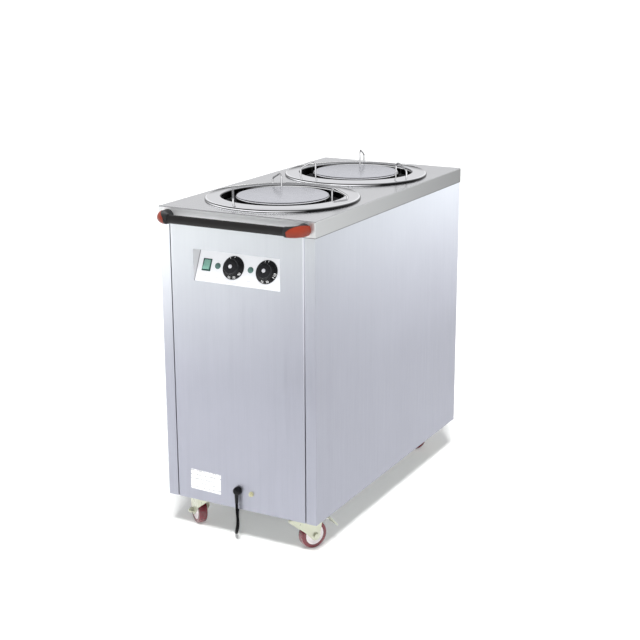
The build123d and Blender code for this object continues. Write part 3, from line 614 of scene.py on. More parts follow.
def worktop_metal(settings):
    """Brushed steel along the length; the apron is duller, with painted shade on its long sides
    that deepens towards the rear, painted light on its ends with a painted glow fading from left to
    right, linished corner welds and a painted shadow line along its folded edge."""
    colour = tuple(settings.worktop_colour)
    material = brushed_metal(
        "worktop_steel", colour, (700.0, 6.0, 700.0), settings.worktop_roughness, 0.008
    )
    tree, shader = opened(material)
    x, y, z = separated(tree)
    below = falling(tree, z, TOP - 0.003, TOP - 0.001)
    # Painted shade on the apron's long sides, deeper towards the rear
    side = product(tree, sharp_band(tree, x, HALF_WIDTH - 0.0002, 0.001), below)
    far = product(tree, side, ranged(tree, y, FRONT, REAR))
    ends = sharp_band(tree, from_middle(tree, y), HALF_LENGTH - 0.0002, 0.001)
    end = product(tree, ends, below)
    weld = product(tree, end, sharp_band(tree, x, HALF_WIDTH - 0.012, 0.005))
    # Painted shadow line where the apron's folded edge overhangs the panels
    fold_shadow = falling(tree, z, APRON_FOOT - 0.0005, APRON_FOOT + 0.0005)
    # Painted glow on the apron's ends, strongest at the left
    glare = product(tree, end, falling(tree, x, -HALF_WIDTH, HALF_WIDTH))
    lit(tree, blended(tree, glare, BLACK, (0.2, 0.2, 0.2)), shader)
    base, dull = shader.inputs["Base Color"], shader.inputs["Roughness"]
    # Painted shade on the sides, painted light on the ends, the welds' own finish, painted shadow
    # at the fold
    for mask, shade, roughness in (
        (side, settings.apron_painted_shade, 0.4),
        (far, 0.5 * settings.apron_painted_shade, 0.4),
        (end, settings.end_painted_light, 0.55),
        (weld, settings.weld_shade, 0.4),
        (fold_shadow, 0.2, 0.5),
    ):
        feed(tree, blended(tree, mask, source(base), tinted(colour, shade)), base)
        feed(tree, mixed(tree, mask, source(dull), roughness), dull)
    return material


def painted_panel_shade(tree, low, high, factors, shares):
    """Painted reflection and shade up a panel: at each level, the low and the high colour mixed
    by a share, times a factor."""
    colours = [
        tuple(factor * ((1 - share) * a + share * b) for a, b in zip(low, high))
        for factor, share in zip(factors, shares)
    ]
    return by_height(tree, PANEL_LEVELS, colours, "B_SPLINE")


def panel_metal(settings):
    """Satin sheet that mirrors the room softly, with painted reflection and shade by height: at
    each level it blends from the painted shade at the near right corner to the one at the far
    edges, left on the ends and rear on the sides; the left return and right seam get painted
    highlights."""
    colours = settings.painted_foot_shade, settings.front_colour, settings.side_colour
    low, front, side = (tuple(colour) for colour in colours)
    material = brushed_metal(
        "panel_steel", (1.0, 1.0, 1.0), (700.0, 700.0, 10.0), settings.panel_roughness, 0.006, 0.97
    )
    tree, shader = opened(material)
    x, y, z = separated(tree)
    end = sharp_band(tree, from_middle(tree, y), HALF_LENGTH - 0.0022, 0.0006)
    # Painted shade and reflection on the ends and the sides, by height
    end_painted_shade = blended(
        tree,
        falling(tree, x, -HALF_WIDTH, HALF_WIDTH),
        painted_panel_shade(tree, low, front, (1.0, 0.94, 0.86, 1.0, 0.76), (0, 0, 0, 0.12, 1)),
        painted_panel_shade(tree, low, front, (1.0, 1.06, 1.1, 1.05, 1.05), (0, 0, 0.05, 0.55, 1)),
    )
    side_painted_shade = blended(
        tree,
        ranged(tree, y, FRONT, REAR),
        painted_panel_shade(tree, low, side, (0.86, 0.84, 0.8, 0.85, 0.64), (0, 0, 0, 0.12, 1)),
        painted_panel_shade(tree, low, side, (0.86, 0.83, 0.95, 1.0, 1.0), (0, 0, 0.05, 0.4, 1)),
    )
    tone = blended(tree, end, side_painted_shade, end_painted_shade)
    base = shader.inputs["Base Color"]
    feed(tree, blended(tree, 1.0, tone, source(base), "MULTIPLY"), base)
    # Painted highlights: a glare up the left return and a bright line along the right seam
    left_return = falling(tree, x, -0.2, -0.185)
    glare = product(tree, end, left_return, ranged(tree, z, 0.5, APRON_FOOT, 0.0, 0.9))
    right_seam_highlight = product(
        tree,
        ranged(tree, x, SEAM - 0.004, SEAM - 0.001),
        falling(tree, x, SEAM + 0.001, SEAM + 0.004),
        ranged(tree, z, 0.35, 0.75),
    )
    bright = combined(tree, glare, right_seam_highlight, "MAXIMUM")
    lit(tree, blended(tree, bright, BLACK, (0.32, 0.32, 0.34)), shader)
    return material


def spring_metal(name, colour):
    """Dull steel with the round turns of a wound spring and painted shade in the gaps between them,
    by height.
    """
    material = new_material(name, {"Metallic": 1.0, "Roughness": 0.4})
    tree, shader = opened(material)
    wave = tree.nodes.new("ShaderNodeTexWave")
    wave.wave_type = "BANDS"
    wave.bands_direction = "Z"
    wave.inputs["Scale"].default_value = 90.0
    feed(tree, coordinates(tree), wave.inputs["Vector"])
    turns = wave.outputs["Fac"]
    # Painted shade in the gaps between the turns
    feed(tree, blended(tree, turns, tinted(colour, 0.15), colour), shader.inputs["Base Color"])
    bumped(tree, turns, 0.8, 0.0015, shader)
    return material


# Settings


def colour_property(name, description, default):
    return FloatVectorProperty(
        name=name, description=description, default=default, size=3, min=0, max=1, subtype="COLOR"
    )


def length_property(name, description, default):
    return FloatProperty(name=name, description=description, default=default, unit="LENGTH")


def number_property(name, description, default, **limits):
    return FloatProperty(name=name, description=description, default=default, **limits)


class CabinetSettings(bpy.types.PropertyGroup):
    # The panel colours hold painted reflection and shade: lit above, shaded at the foot
    front_colour: colour_property(
        "Front colour", "Upper colour of the end panels", (0.84, 0.87, 0.90)
    )
    side_colour: colour_property(
        "Side colour", "Upper colour of the side panels", (0.85, 0.88, 0.95)
    )
    painted_foot_shade: colour_property(
        "Low panel colour", "Colour of the panels at their foot", (0.46, 0.465, 0.535)
    )
    worktop_colour: colour_property(
        "Worktop colour", "Colour of the pressed top", (0.67, 0.675, 0.685)
    )
    pan_colour: colour_property(
        "Base pan colour", "Colour of the galvanised base", (0.50, 0.51, 0.52)
    )
    # Painted shade of the apron's long sides and painted light on its ends
    apron_painted_shade: number_property("Apron shade", "Shade of the apron's long sides", 0.72)
    end_painted_light: number_property("End shade", "Shade of the apron's ends", 1.25)
    weld_shade: number_property("Weld shade", "Shade of the linished corner welds", 1.0)
    panel_roughness: number_property(
        "Panel roughness", "Roughness of the panels", 0.45, min=0, max=1
    )
    worktop_roughness: number_property(
        "Worktop roughness", "Roughness of the top", 0.2, min=0, max=1
    )
    plate_width: length_property("Plate width", "Width of the blank rating plate", 0.093)
    plate_height: length_property("Plate height", "Height of the blank rating plate", 0.055)


class WellSettings(bpy.types.PropertyGroup):
    collar_radius: length_property("Collar radius", "Outer radius of a collar", 0.204)
    throat_radius: length_property("Throat radius", "Radius of a collar's throat", 0.1616)
    platform_radius: length_property("Platform radius", "Radius of a platform", 0.122)
    wire_radius: length_property("Guide wire radius", "Radius of the guide wire", 0.0024)
    collar_colour: colour_property(
        "Collar colour", "Colour of the polished collars", (0.72, 0.725, 0.74)
    )
    platform_colour: colour_property(
        "Platform colour", "Colour of the platforms", (0.65, 0.66, 0.71)
    )
    segments: IntProperty(
        name="Segments", description="Steps round a collar", default=192, min=24, max=360
    )


class ControlSettings(bpy.types.PropertyGroup):
    # Kept dark, as the fascia's whiteness comes from its painted glow
    fascia_colour: colour_property(
        "Fascia colour", "Colour of the sloping fascia", (0.30, 0.305, 0.315)
    )
    bezel_colour: colour_property("Bezel colour", "Colour of the bezel", (0.012, 0.075, 0.06))
    rocker_colour: colour_property("Rocker colour", "Colour of the rocker", (0.30, 0.60, 0.49))
    lamp_colour: colour_property("Lamp colour", "Colour of the pilot lamps", (0.11, 0.24, 0.21))
    knob_colour: colour_property("Knob colour", "Colour of the knobs", (0.008, 0.008, 0.010))
    mark_colour: colour_property("Mark colour", "Colour of the dial marks", (0.95, 0.95, 0.95))


class HandleSettings(bpy.types.PropertyGroup):
    tube_colour: colour_property("Tube colour", "Colour of the push tube", (0.016, 0.015, 0.015))
    cap_colour: colour_property("Cap colour", "Colour of the end caps", (0.27, 0.038, 0.018))


class CasterSettings(bpy.types.PropertyGroup):
    zinc_colour: colour_property("Zinc colour", "Colour of the plated forks", (0.62, 0.63, 0.51))
    tyre_colour: colour_property("Tyre colour", "Colour of the tyres", (0.17, 0.005, 0.018))
    hub_colour: colour_property("Hub colour", "Colour of the wheel centres", (0.80, 0.76, 0.77))


class LeadSettings(bpy.types.PropertyGroup):
    lead_colour: colour_property("Lead colour", "Colour of the mains lead", (0.004, 0.004, 0.005))
    lead_radius: length_property("Lead radius", "Radius of the mains lead", 0.00375)


class StageSettings(bpy.types.PropertyGroup):
    floor_colour: colour_property("Floor colour", "Colour of the studio floor", (0.80, 0.81, 0.80))
    floor_lift: number_property("Floor lift", "Glow of the floor, which lightens the shadow", 0.25)
    sun_strength: number_property("Key strength", "Strength of the key light", 3.8)
    sky_strength: number_property("Sky strength", "Strength of the soft light", 0.75)
    lens: number_property("Lens", "Focal length in millimetres", 73.99)


SETTINGS = {
    "trolley_cabinet": CabinetSettings,
    "trolley_wells": WellSettings,
    "trolley_controls": ControlSettings,
    "trolley_handle": HandleSettings,
    "trolley_casters": CasterSettings,
    "trolley_lead": LeadSettings,
    "trolley_stage": StageSettings,
}


# Pieces


class TROLLEY_OT_cabinet(bpy.types.Operator):
    """Dress the cabinet panels and the worktop, and add the blank rating plate"""

    bl_idname = "trolley.cabinet"
    bl_label = "Cabinet"

    def execute(self, context):
        settings = context.scene.trolley_cabinet
        panel = panel_metal(settings)
        for node in ("front_panel", "rear_panel", "left_panel", "right_panel"):
            dress_node(node, panel)
        dress_node("worktop", worktop_metal(settings))
        pan = brushed_metal("pan_steel", tuple(settings.pan_colour), (90.0, 90.0, 90.0), 0.5)
        dress_node("base_pan", pan)
        self.add_rating_plate(settings)
        return {"FINISHED"}

    def add_rating_plate(self, settings):
        """Thin blank plate with rounded corners, flat on the front panel."""
        corners = box_outline(settings.plate_width / 2, settings.plate_height / 2)
        foot = (0, -settings.plate_height / 2)
        outline = rounded([foot, *corners[1:], corners[0], foot], [0.0015] * 4, 4)[:-1]
        plate = slab(outline, 0.0, 0.0005, 0.0001)
        place = shift(-0.1065, PANEL_FACE, BODY_BOTTOM + 0.0570) @ spin(QUARTER, "X")
        place = place @ spin(math.radians(-1.5), "Z")
        shape = [placed(plate, place)]
        make_piece("rating_plate", shape, self.plate_material(), CABINET)

    def plate_material(self):
        """White, with rows of plain dashes: a zigzag over the height gives the rows, and noise
        breaks them."""
        white, row, dash = (0.93, 0.93, 0.95), 0.0058, 150.0
        paper = moulded("plate_white", white, 0.5, 0.03, vary=0.98)
        tree, shader = opened(paper)
        zigzag = combined(tree, separated(tree)[2], row, "PINGPONG")
        breaks = ranged(tree, noise(tree, coordinates(tree), dash), 0.45, 0.55, 0.0, 0.55)
        dashes = product(tree, ranged(tree, zigzag, 0.0035, 0.0048), breaks)
        feed(tree, blended(tree, dashes, white, (0.12, 0.12, 0.14)), shader.inputs["Base Color"])
        return paper


class TROLLEY_OT_wells(bpy.types.Operator):
    """Turn the collars and platforms, and dress the wells, carriers, springs and elements"""

    bl_idname = "trolley.wells"
    bl_label = "Wells"

    def execute(self, context):
        settings = context.scene.trolley_wells
        chrome = self.collar_metal(settings)
        satin = self.platform_metal(settings)
        plated = brushed_metal("well_steel", (0.45, 0.455, 0.47), (40.0, 40.0, 200.0), 0.38)
        spring = spring_metal("spring_steel", (0.5, 0.5, 0.52))
        element = brushed_metal("element_sheath", (0.30, 0.27, 0.26), (60.0, 60.0, 60.0), 0.45)
        for end, y in WELLS.items():
            self.add_collar(settings, end, y, chrome)
            self.add_platform(settings, end, y, satin)
            dress_node(end + "_well", plated)
            dress_node(end + "_carrier", plated)
            dress_node(end + "_springs", spring)
        dress_node("heaters", element)
        return {"FINISHED"}

    def platform_metal(self, settings):
        """Satin finish, with painted reflection in dark and bright bands round the rolled rim, by
        height, and a painted glow in the bright band.
        """
        colour = tuple(settings.platform_colour)
        material = brushed_metal("platform_satin", colour, (60.0, 60.0, 60.0), 0.24, 0.03)
        tree, shader = opened(material)
        heights = (-0.0046, -0.0042, -0.0026, -0.0022, -0.0010, -0.0005)
        levels = [PLATFORM_TOP + height for height in heights]
        # Painted reflection: dark and bright bands up the rim
        shades = by_height(tree, levels, greys((0.2, 1.2, 1.2, 0.25, 0.25, 1.0)))
        base = shader.inputs["Base Color"]
        feed(tree, blended(tree, 1.0, source(base), shades, "MULTIPLY"), base)
        # Painted glow in the rim's bright band
        lit(tree, by_height(tree, levels, greys((0, 0.35, 0.35, 0, 0, 0))), shader)
        return material

    def collar_metal(self, settings):
        """Mirror finish with painted reflection: up the rolled rim run a painted dark foot where it
            meets the worktop, a painted bright band with a painted glow and a painted dark line
            below the crown, and the band darkens at both sides."""
        colour = tuple(settings.collar_colour)
        material = polished_metal("collar_chrome", colour, 0.05, 0.02)
        tree, shader = opened(material)
        heights = (0.0009, 0.0012, 0.0034, 0.0037, 0.0057, 0.0059, 0.0066)
        levels = [TOP + height for height in heights]
        ends = sharp_band(tree, separated(tree)[0], 0.15, 0.06)
        # Painted reflection, shade and glow: shade factors up the rim, front and back and at the
        # sides
        for name, *rows in (
            (
                "Base Color",
                (0.03, 1.2, 1.2, 0.06, 0.06, 1.2, 1.0),
                (0.03, 0.03, 0.03, 0.03, 0.6, 1.1, 1.0),
            ),
            ("Emission Color", (0, 0.9, 0.9, 0, 0, 0.3, 0), (0, 0, 0, 0, 0.2, 0.4, 0)),
        ):
            near, far = (by_height(tree, levels, [tinted(colour, k) for k in row]) for row in rows)
            feed(tree, blended(tree, ends, near, far), shader.inputs[name])
        shader.inputs["Emission Strength"].default_value = 1.0
        return material

    def add_collar(self, settings, end, y, material):
        """Bent sheet profile turned about the well: skirt, sloping crown and throat, and a
        socket tube under it for each guide."""
        outer, throat, sheet = settings.collar_radius, settings.throat_radius, 0.0012
        shoulder, crown, lip = 0.0058, 0.0104, -0.014
        over = [(outer, 0), (outer, shoulder), (throat, crown), (throat, lip)]
        inner, skirt = throat + sheet, outer - sheet
        under = [(inner, lip), (inner, crown - 0.0012), (skirt, shoulder - 0.0011), (skirt, 0)]
        lines = [rounded(over, [0.005, 0.004], 10), rounded(under, [0.0028, 0.0038], 10)]
        shapes = [turned(np.concatenate(lines), settings.segments, closed=True)]
        wall, bore, foot, head = 0.00449, 0.00248, -0.04, 0.0072
        tube = turned([(wall, foot), (wall, head), (bore, head), (bore, foot)], 24, closed=True)
        for well, angle, _, _ in GUIDES.values():
            if well == end:
                shapes.append(placed(tube, shift(*around(GUIDE_CIRCLE, angle), 0)))
        place = shift(0, y, TOP)
        shapes = [placed(shape, place) for shape in shapes]
        make_piece(end + "_collar_spun", shapes, material, CABINET, [end + "_collar"])

    def add_platform(self, settings, end, y, material):
        """Dished profile turned about the well: flat face, rolled rim and skirt."""
        radius, sheet, rim = settings.platform_radius, 0.0015, 0.014
        over = rounded([(radius, -rim), (radius, 0), (0, 0)], [0.004], 10)
        inner = radius - sheet
        under = rounded([(0, -sheet), (inner, -sheet), (inner, -rim)], [0.0025], 6)
        profile = np.concatenate([over, under, over[:1]])
        shape = placed(turned(profile, settings.segments), shift(0, y, PLATFORM_TOP))
        name = end + "_platform"
        make_piece(name + "_pressed", [shape], material, end + "_lift", [name])


class TROLLEY_OT_guides(bpy.types.Operator):
    """Bend the wire plate guides"""

    bl_idname = "trolley.guides"
    bl_label = "Plate guides"

    def execute(self, context):
        settings = context.scene.trolley_wells
        wire = self.wire_metal()
        for name, (well, angle, turn, apex) in GUIDES.items():
            path = self.bent_line(apex)
            tube = carried(path, circle(settings.wire_radius, 20), (0, 1, 0))
            place = shift(0, WELLS[well], TOP) @ shift(*around(GUIDE_CIRCLE, angle), 0)
            inward = math.radians(angle + 180 + turn)
            shape = [placed(tube, place @ spin(inward, "Z"))]
            make_piece(name + "_wire", shape, wire, name + "_swing", [name])
        return {"FINISHED"}

    def wire_metal(self):
        """Bright wire whose middle, where it faces the eye, has a painted glint."""
        wire = polished_metal("guide_wire", (0.42, 0.42, 0.43), 0.1, 0.02)
        tree, shader = opened(wire)
        # Painted glint along the middle of the wire where it faces the view
        facing = tree.nodes.new("ShaderNodeLayerWeight")
        facing.inputs["Blend"].default_value = 0.5
        glint = falling(tree, facing.outputs["Facing"], 0.06, 0.3)
        lit(tree, blended(tree, glint, BLACK, (0.7, 0.7, 0.71)), shader)
        return wire

    def bent_line(self, apex):
        """Centre line: up from the socket, a slope to the apex and down into the well."""
        shoulder, leg, slope, span, reach = apex - 0.017, 0.045, 0.0365, 0.045, 0.15
        points = [(0, shoulder - leg), (0, shoulder), (slope, apex)]
        points += [(span, apex - 0.007), (span, apex - reach)]
        line = rounded(points, [0.007, 0.0035, 0.007], 8)
        return np.stack([line[:, 0], np.zeros(len(line)), line[:, 1]], -1)


class TROLLEY_OT_controls(bpy.types.Operator):
    """Dress the fascia, switch and lamps, and turn the marked knobs"""

    bl_idname = "trolley.controls"
    bl_label = "Controls"

    def execute(self, context):
        settings = context.scene.trolley_controls
        dress_node("control_panel", self.fascia_material(settings))
        bezel = moulded("bezel_teal", tuple(settings.bezel_colour), 0.3)
        refine_node("switch_housing", bezel, 0.0003)
        rocker_colour = tuple(settings.rocker_colour)
        rocker = moulded("rocker_green", rocker_colour, 0.22, 0.02, Coat_Weight=0.5)
        refine_node("switch_rocker", rocker, 0.0004)
        self.add_lamps(settings)
        self.add_legends()
        dress_node("thermostats", moulded("phenolic_brown", (0.10, 0.06, 0.04), 0.5))
        steel = brushed_metal("spindle_steel", (0.6, 0.6, 0.6), (60.0, 60.0, 60.0), 0.35)
        knob_colour = tuple(settings.knob_colour)
        black = moulded("knob_black", knob_colour, 0.2, 0.03, Specular_IOR_Level=0.3)
        white = (1.0, 1.0, 1.0)
        # The dial print's glow is painted light
        ink = moulded("dial_print", tuple(settings.mark_colour), 0.5, 0.02, **glow(white, 0.35))
        # The knob insert's glow is painted light
        bright = polished_metal("knob_insert", (0.8, 0.8, 0.82), 0.3, **glow((0.22, 0.22, 0.24)))
        for side, x in KNOBS.items():
            dress_node(side + "_spindle", steel)
            place = FASCIA @ shift(x, CONTROL_ROW, 0)
            self.add_knob(side, place, black, bright)
            self.add_dial_marks(side, place, ink)
        return {"FINISHED"}

    def add_legends(self):
        """Plain grey bars under the controls."""
        rows = [*LEGENDS, *((x, *KNOB_LEGEND) for x in KNOBS.values())]
        shapes = []
        for x, y, width in rows:
            bar = slab(box_outline(width / 2, 0.0009), 0.0, 0.0002, 0.00005)
            shapes.append(placed(bar, FASCIA @ shift(x, y, 0)))
        # The legends' glow is painted light
        ink = moulded("legend_grey", (0.55, 0.56, 0.60), 0.6, 0.02, **glow((0.2, 0.2, 0.22)))
        make_piece("fascia_legends", shapes, ink, CABINET)

    def fascia_material(self, settings):
        """White satin finish with a painted glow, stronger on its left cheek, and painted shade in
        the joints along the cheek and under the ceiling.
        """
        colour = tuple(settings.fascia_colour)
        # Painted glow that makes the fascia white
        light = tinted(colour, 2.1)
        material = moulded("fascia_white", colour, 0.4, 0.02, vary=0.98, **glow(light))
        tree, shader = opened(material)
        x, _, z = separated(tree)
        cheek = (x, CHEEK - 0.00002, CHEEK + 0.00002)
        joint_shade = falling(tree, x, CHEEK + 0.0013, CHEEK + 0.0023)
        joint_shade = product(tree, joint_shade, ranged(tree, *cheek))
        # Painted shade along the top edge under the ceiling
        shade = ranged(tree, z, CEILING - 0.0015, CEILING, 0.0, 0.7)
        mask = combined(tree, joint_shade, shade, "MAXIMUM")
        base = shader.inputs["Base Color"]
        feed(tree, blended(tree, mask, source(base), (0.16, 0.16, 0.18)), base)
        # Painted glow, stronger on the cheek and dimmed in the shaded joints
        bright = blended(tree, falling(tree, *cheek), light, (0.85, 0.87, 0.88))
        lit(tree, blended(tree, mask, bright, (0.02, 0.02, 0.02)), shader)
        return material

    def add_lamps(self, settings):
        """Turned bezel and domed lens for each pilot lamp."""
        lens = moulded("lamp_green", tuple(settings.lamp_colour), 0.18, 0.02, Coat_Weight=0.7)
        stem, back, bezel, rim = 0.0054, -0.022, 0.008, 0.002
        points = [(stem, back), (stem, 0), (bezel, 0), (bezel, rim), (0.0064, rim)]
        points += [(0.0062, 0.0034), (0, 0.0039)]
        profile = rounded(points, [0.0002, 0.0002, 0.0008, 0.0004, 0.0008], 6)
        lamp = turned(np.concatenate([[(0, back)], profile]), 48)
        shapes = [placed(lamp, FASCIA @ shift(x, CONTROL_ROW, 0)) for x in LAMPS]
        make_piece("pilot_lamp_lenses", shapes, lens, CABINET, ["pilot_lamps"])

    def add_knob(self, side, place, black, bright):
        """Profile of dial skirt, tapered grip and spigot turned about the spindle, and the
        bright disc on its end."""
        bore, socket, skirt, foot = 0.0031, 0.0142, 0.0305, 0.001
        points = [(bore, socket), (bore, 0.005), (0.012, 0.005), (0.012, foot), (skirt, foot)]
        points += [(skirt, 0.0036), (0.0215, 0.007), (0.0203, 0.0085), (0.0185, 0.0193)]
        points += [(0.0075, 0.0195), (0.0068, 0.0183), (0, 0.0183)]
        radii = [0.0005, 0.0005, 0.0005, 0.0006, 0.0012, 0.001, 0.001, 0.0016, 0.0004, 0.0004]
        profile = np.concatenate([[(0, socket)], rounded(points, radii, 5)])
        name, body = side + "_knob", side + "_dial"
        knob = placed(turned(profile), place)
        make_piece(name + "_moulded", [knob], black, body, [name])
        points = [(0, 0.0181), (0.005, 0.0181), (0.005, 0.0202), (0, 0.0203)]
        disc = placed(turned(rounded(points, [0.0002, 0.0008], 5), 48), place)
        make_piece(name + "_disc", [disc], bright, body)

    def add_dial_marks(self, side, place, material):
        """Scale ticks and numbers laid on the cone of the dial skirt."""
        numbers, ticks = DIALS[side]

        def on_cone(angle, radius, height):
            around = place @ spin(math.radians(angle), "Z")
            return around @ shift(radius, 0, height) @ spin(DIAL_SLOPE, "Y")

        meshes = []
        for angle, word in numbers:
            mesh = self.number_mesh(word, 0.0095 if len(word) > 2 else 0.0078)
            mesh.transform(on_cone(angle, 0.0266, 0.0052) @ spin(QUARTER, "Z"))
            meshes.append(mesh)
        tick = slab(box_outline(0.0022, 0.0006), 0, 0.0002, 0.00005)
        shapes = [placed(tick, on_cone(angle, 0.0268, 0.0051)) for angle in ticks]
        piece = make_piece(side + "_dial_marks", shapes, material, side + "_dial")
        bm = bmesh.new()
        bm.from_mesh(piece.data)
        for mesh in meshes:
            bm.from_mesh(mesh)
            bpy.data.meshes.remove(mesh)
        bm.to_mesh(piece.data)
        bm.free()

    def number_mesh(self, word, size):
        """Mesh of a centred scale number."""
        curve = bpy.data.curves.new("dial_number", "FONT")
        curve.body = word
        curve.size = size
        curve.align_x = "CENTER"
        curve.align_y = "CENTER"
        curve.extrude = 0.0001
        text = linked("dial_number", curve)
        depsgraph = bpy.context.evaluated_depsgraph_get()
        depsgraph.update()
        mesh = bpy.data.meshes.new_from_object(text.evaluated_get(depsgraph))
        bpy.data.objects.remove(text)
        return mesh


class TROLLEY_OT_handle(bpy.types.Operator):
    """Dress the push tube and its elbows and caps"""

    bl_idname = "trolley.handle"
    bl_label = "Push handle"

    def execute(self, context):
        settings = context.scene.trolley_handle
        self.add_tube(tuple(settings.tube_colour))
        elbow_colour, cap_line = (0.02, 0.02, 0.021), 0.1765
        bracket = moulded("bracket_black", elbow_colour, 0.4, 0.15, Specular_IOR_Level=0.35)
        refine_node("handle_brackets", bracket, 0, 50)
        cap_colour = tuple(settings.cap_colour)
        orange = moulded("cap_orange", cap_colour, 0.35, 0.06, Specular_IOR_Level=0.25)
        tree, shader = opened(orange)
        outer = sharp_band(tree, separated(tree)[0], cap_line, 0.0008)
        base = shader.inputs["Base Color"]
        feed(tree, blended(tree, outer, (0.015, 0.015, 0.016), source(base)), base)
        refine_node("handle_caps", orange, 0.0003, 50)
        return {"FINISHED"}

    def add_tube(self, colour):
        """Ring profile of the tube's wall turned about its length."""
        low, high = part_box("handle_tube")
        half, bore, radius = (high.x - low.x) / 2, 0.009, 0.011
        black = moulded("tube_black", colour, 0.42, 0.25, 1400.0, Specular_IOR_Level=0.2)
        profile = [(bore, -half), (radius, -half), (radius, half), (bore, half)]
        place = shift(*(low + high) / 2) @ spin(QUARTER, "Y")
        shape = [placed(turned(profile, 64, closed=True), place)]
        make_piece("handle_tube_painted", shape, black, CABINET, ["handle_tube"])


class TROLLEY_OT_casters(bpy.types.Operator):
    """Dress the plates, forks and pedals, and turn the tyres and wheel centres"""

    bl_idname = "trolley.casters"
    bl_label = "Casters"

    def execute(self, context):
        settings = context.scene.trolley_casters
        zinc_colour, tyre_colour = tuple(settings.zinc_colour), tuple(settings.tyre_colour)
        even = (70.0, 70.0, 70.0)
        zinc = brushed_metal("caster_zinc", zinc_colour, even, 0.3, 0.06, metallic=0.6)
        gloss = {"Specular_IOR_Level": 0.45, "Coat_Weight": 0.7}
        tyre = moulded("tyre_burgundy", tyre_colour, 0.22, 0.06, 600.0, **gloss)
        # The wheel centres' glow is painted light that lifts them out of the shade under the
        # cabinet
        light = glow((1.0, 0.95, 0.97), 0.22)
        hub = moulded("hub_pink", tuple(settings.hub_colour), 0.35, 0.05, **light)
        refine_node("caster_plates", zinc, 0.0004)
        refine_node("caster_bolts", zinc, 0.0005)
        for name, (x, y, heading) in CASTERS.items():
            parts = ("_fork", "_axle", "_pedal") if name.startswith("front") else ("_fork", "_axle")
            for part in parts:
                refine_node(name + part, zinc, 0.0006)
            place = shift(x, y, 0) @ spin(math.radians(heading), "Z")
            place = place @ shift(TRAIL, 0, WHEEL_RADIUS) @ spin(QUARTER, "X")
            self.add_wheel(name, place, tyre, hub)
        return {"FINISHED"}

    def add_wheel(self, name, place, tyre, hub):
        """Tyre profile with round shoulders, and a hub profile of rim, dished web and boss,
        turned about the axle."""
        seat, half = 0.027, 0.012
        points = [(seat, 0), (seat, -half), (WHEEL_RADIUS, -half), (WHEEL_RADIUS, half)]
        points += [(seat, half), (seat, 0)]
        tread = rounded(points, [0.0006, 0.0042, 0.0042, 0.0006])[:-1]
        bore, boss = 0.00405, 0.014
        upper = [(bore, boss), (0.010, boss), (0.0105, 0.004), (0.0225, 0.003), (0.0243, 0.011)]
        upper += [(seat, 0.011)]
        lower = [(radius, -height) for radius, height in upper]
        radii = [0.0004, 0.0008, 0.0015, 0.001, 0.0005, 0.0004]
        points = [(bore, 0), *lower, *upper[::-1], (bore, 0)]
        centre = rounded(points, radii + radii[::-1], 4)[:-1]
        for part, profile, segments, material, slot in (
            ("_tyre", tread, 96, tyre, "tyre_red"),
            ("_hub", centre, 72, hub, "hub_grey"),
        ):
            node = name + part
            shape = [placed(turned(profile, segments, closed=True), place)]
            make_piece(node + "_moulded", shape, material, name + "_wheel", [node])


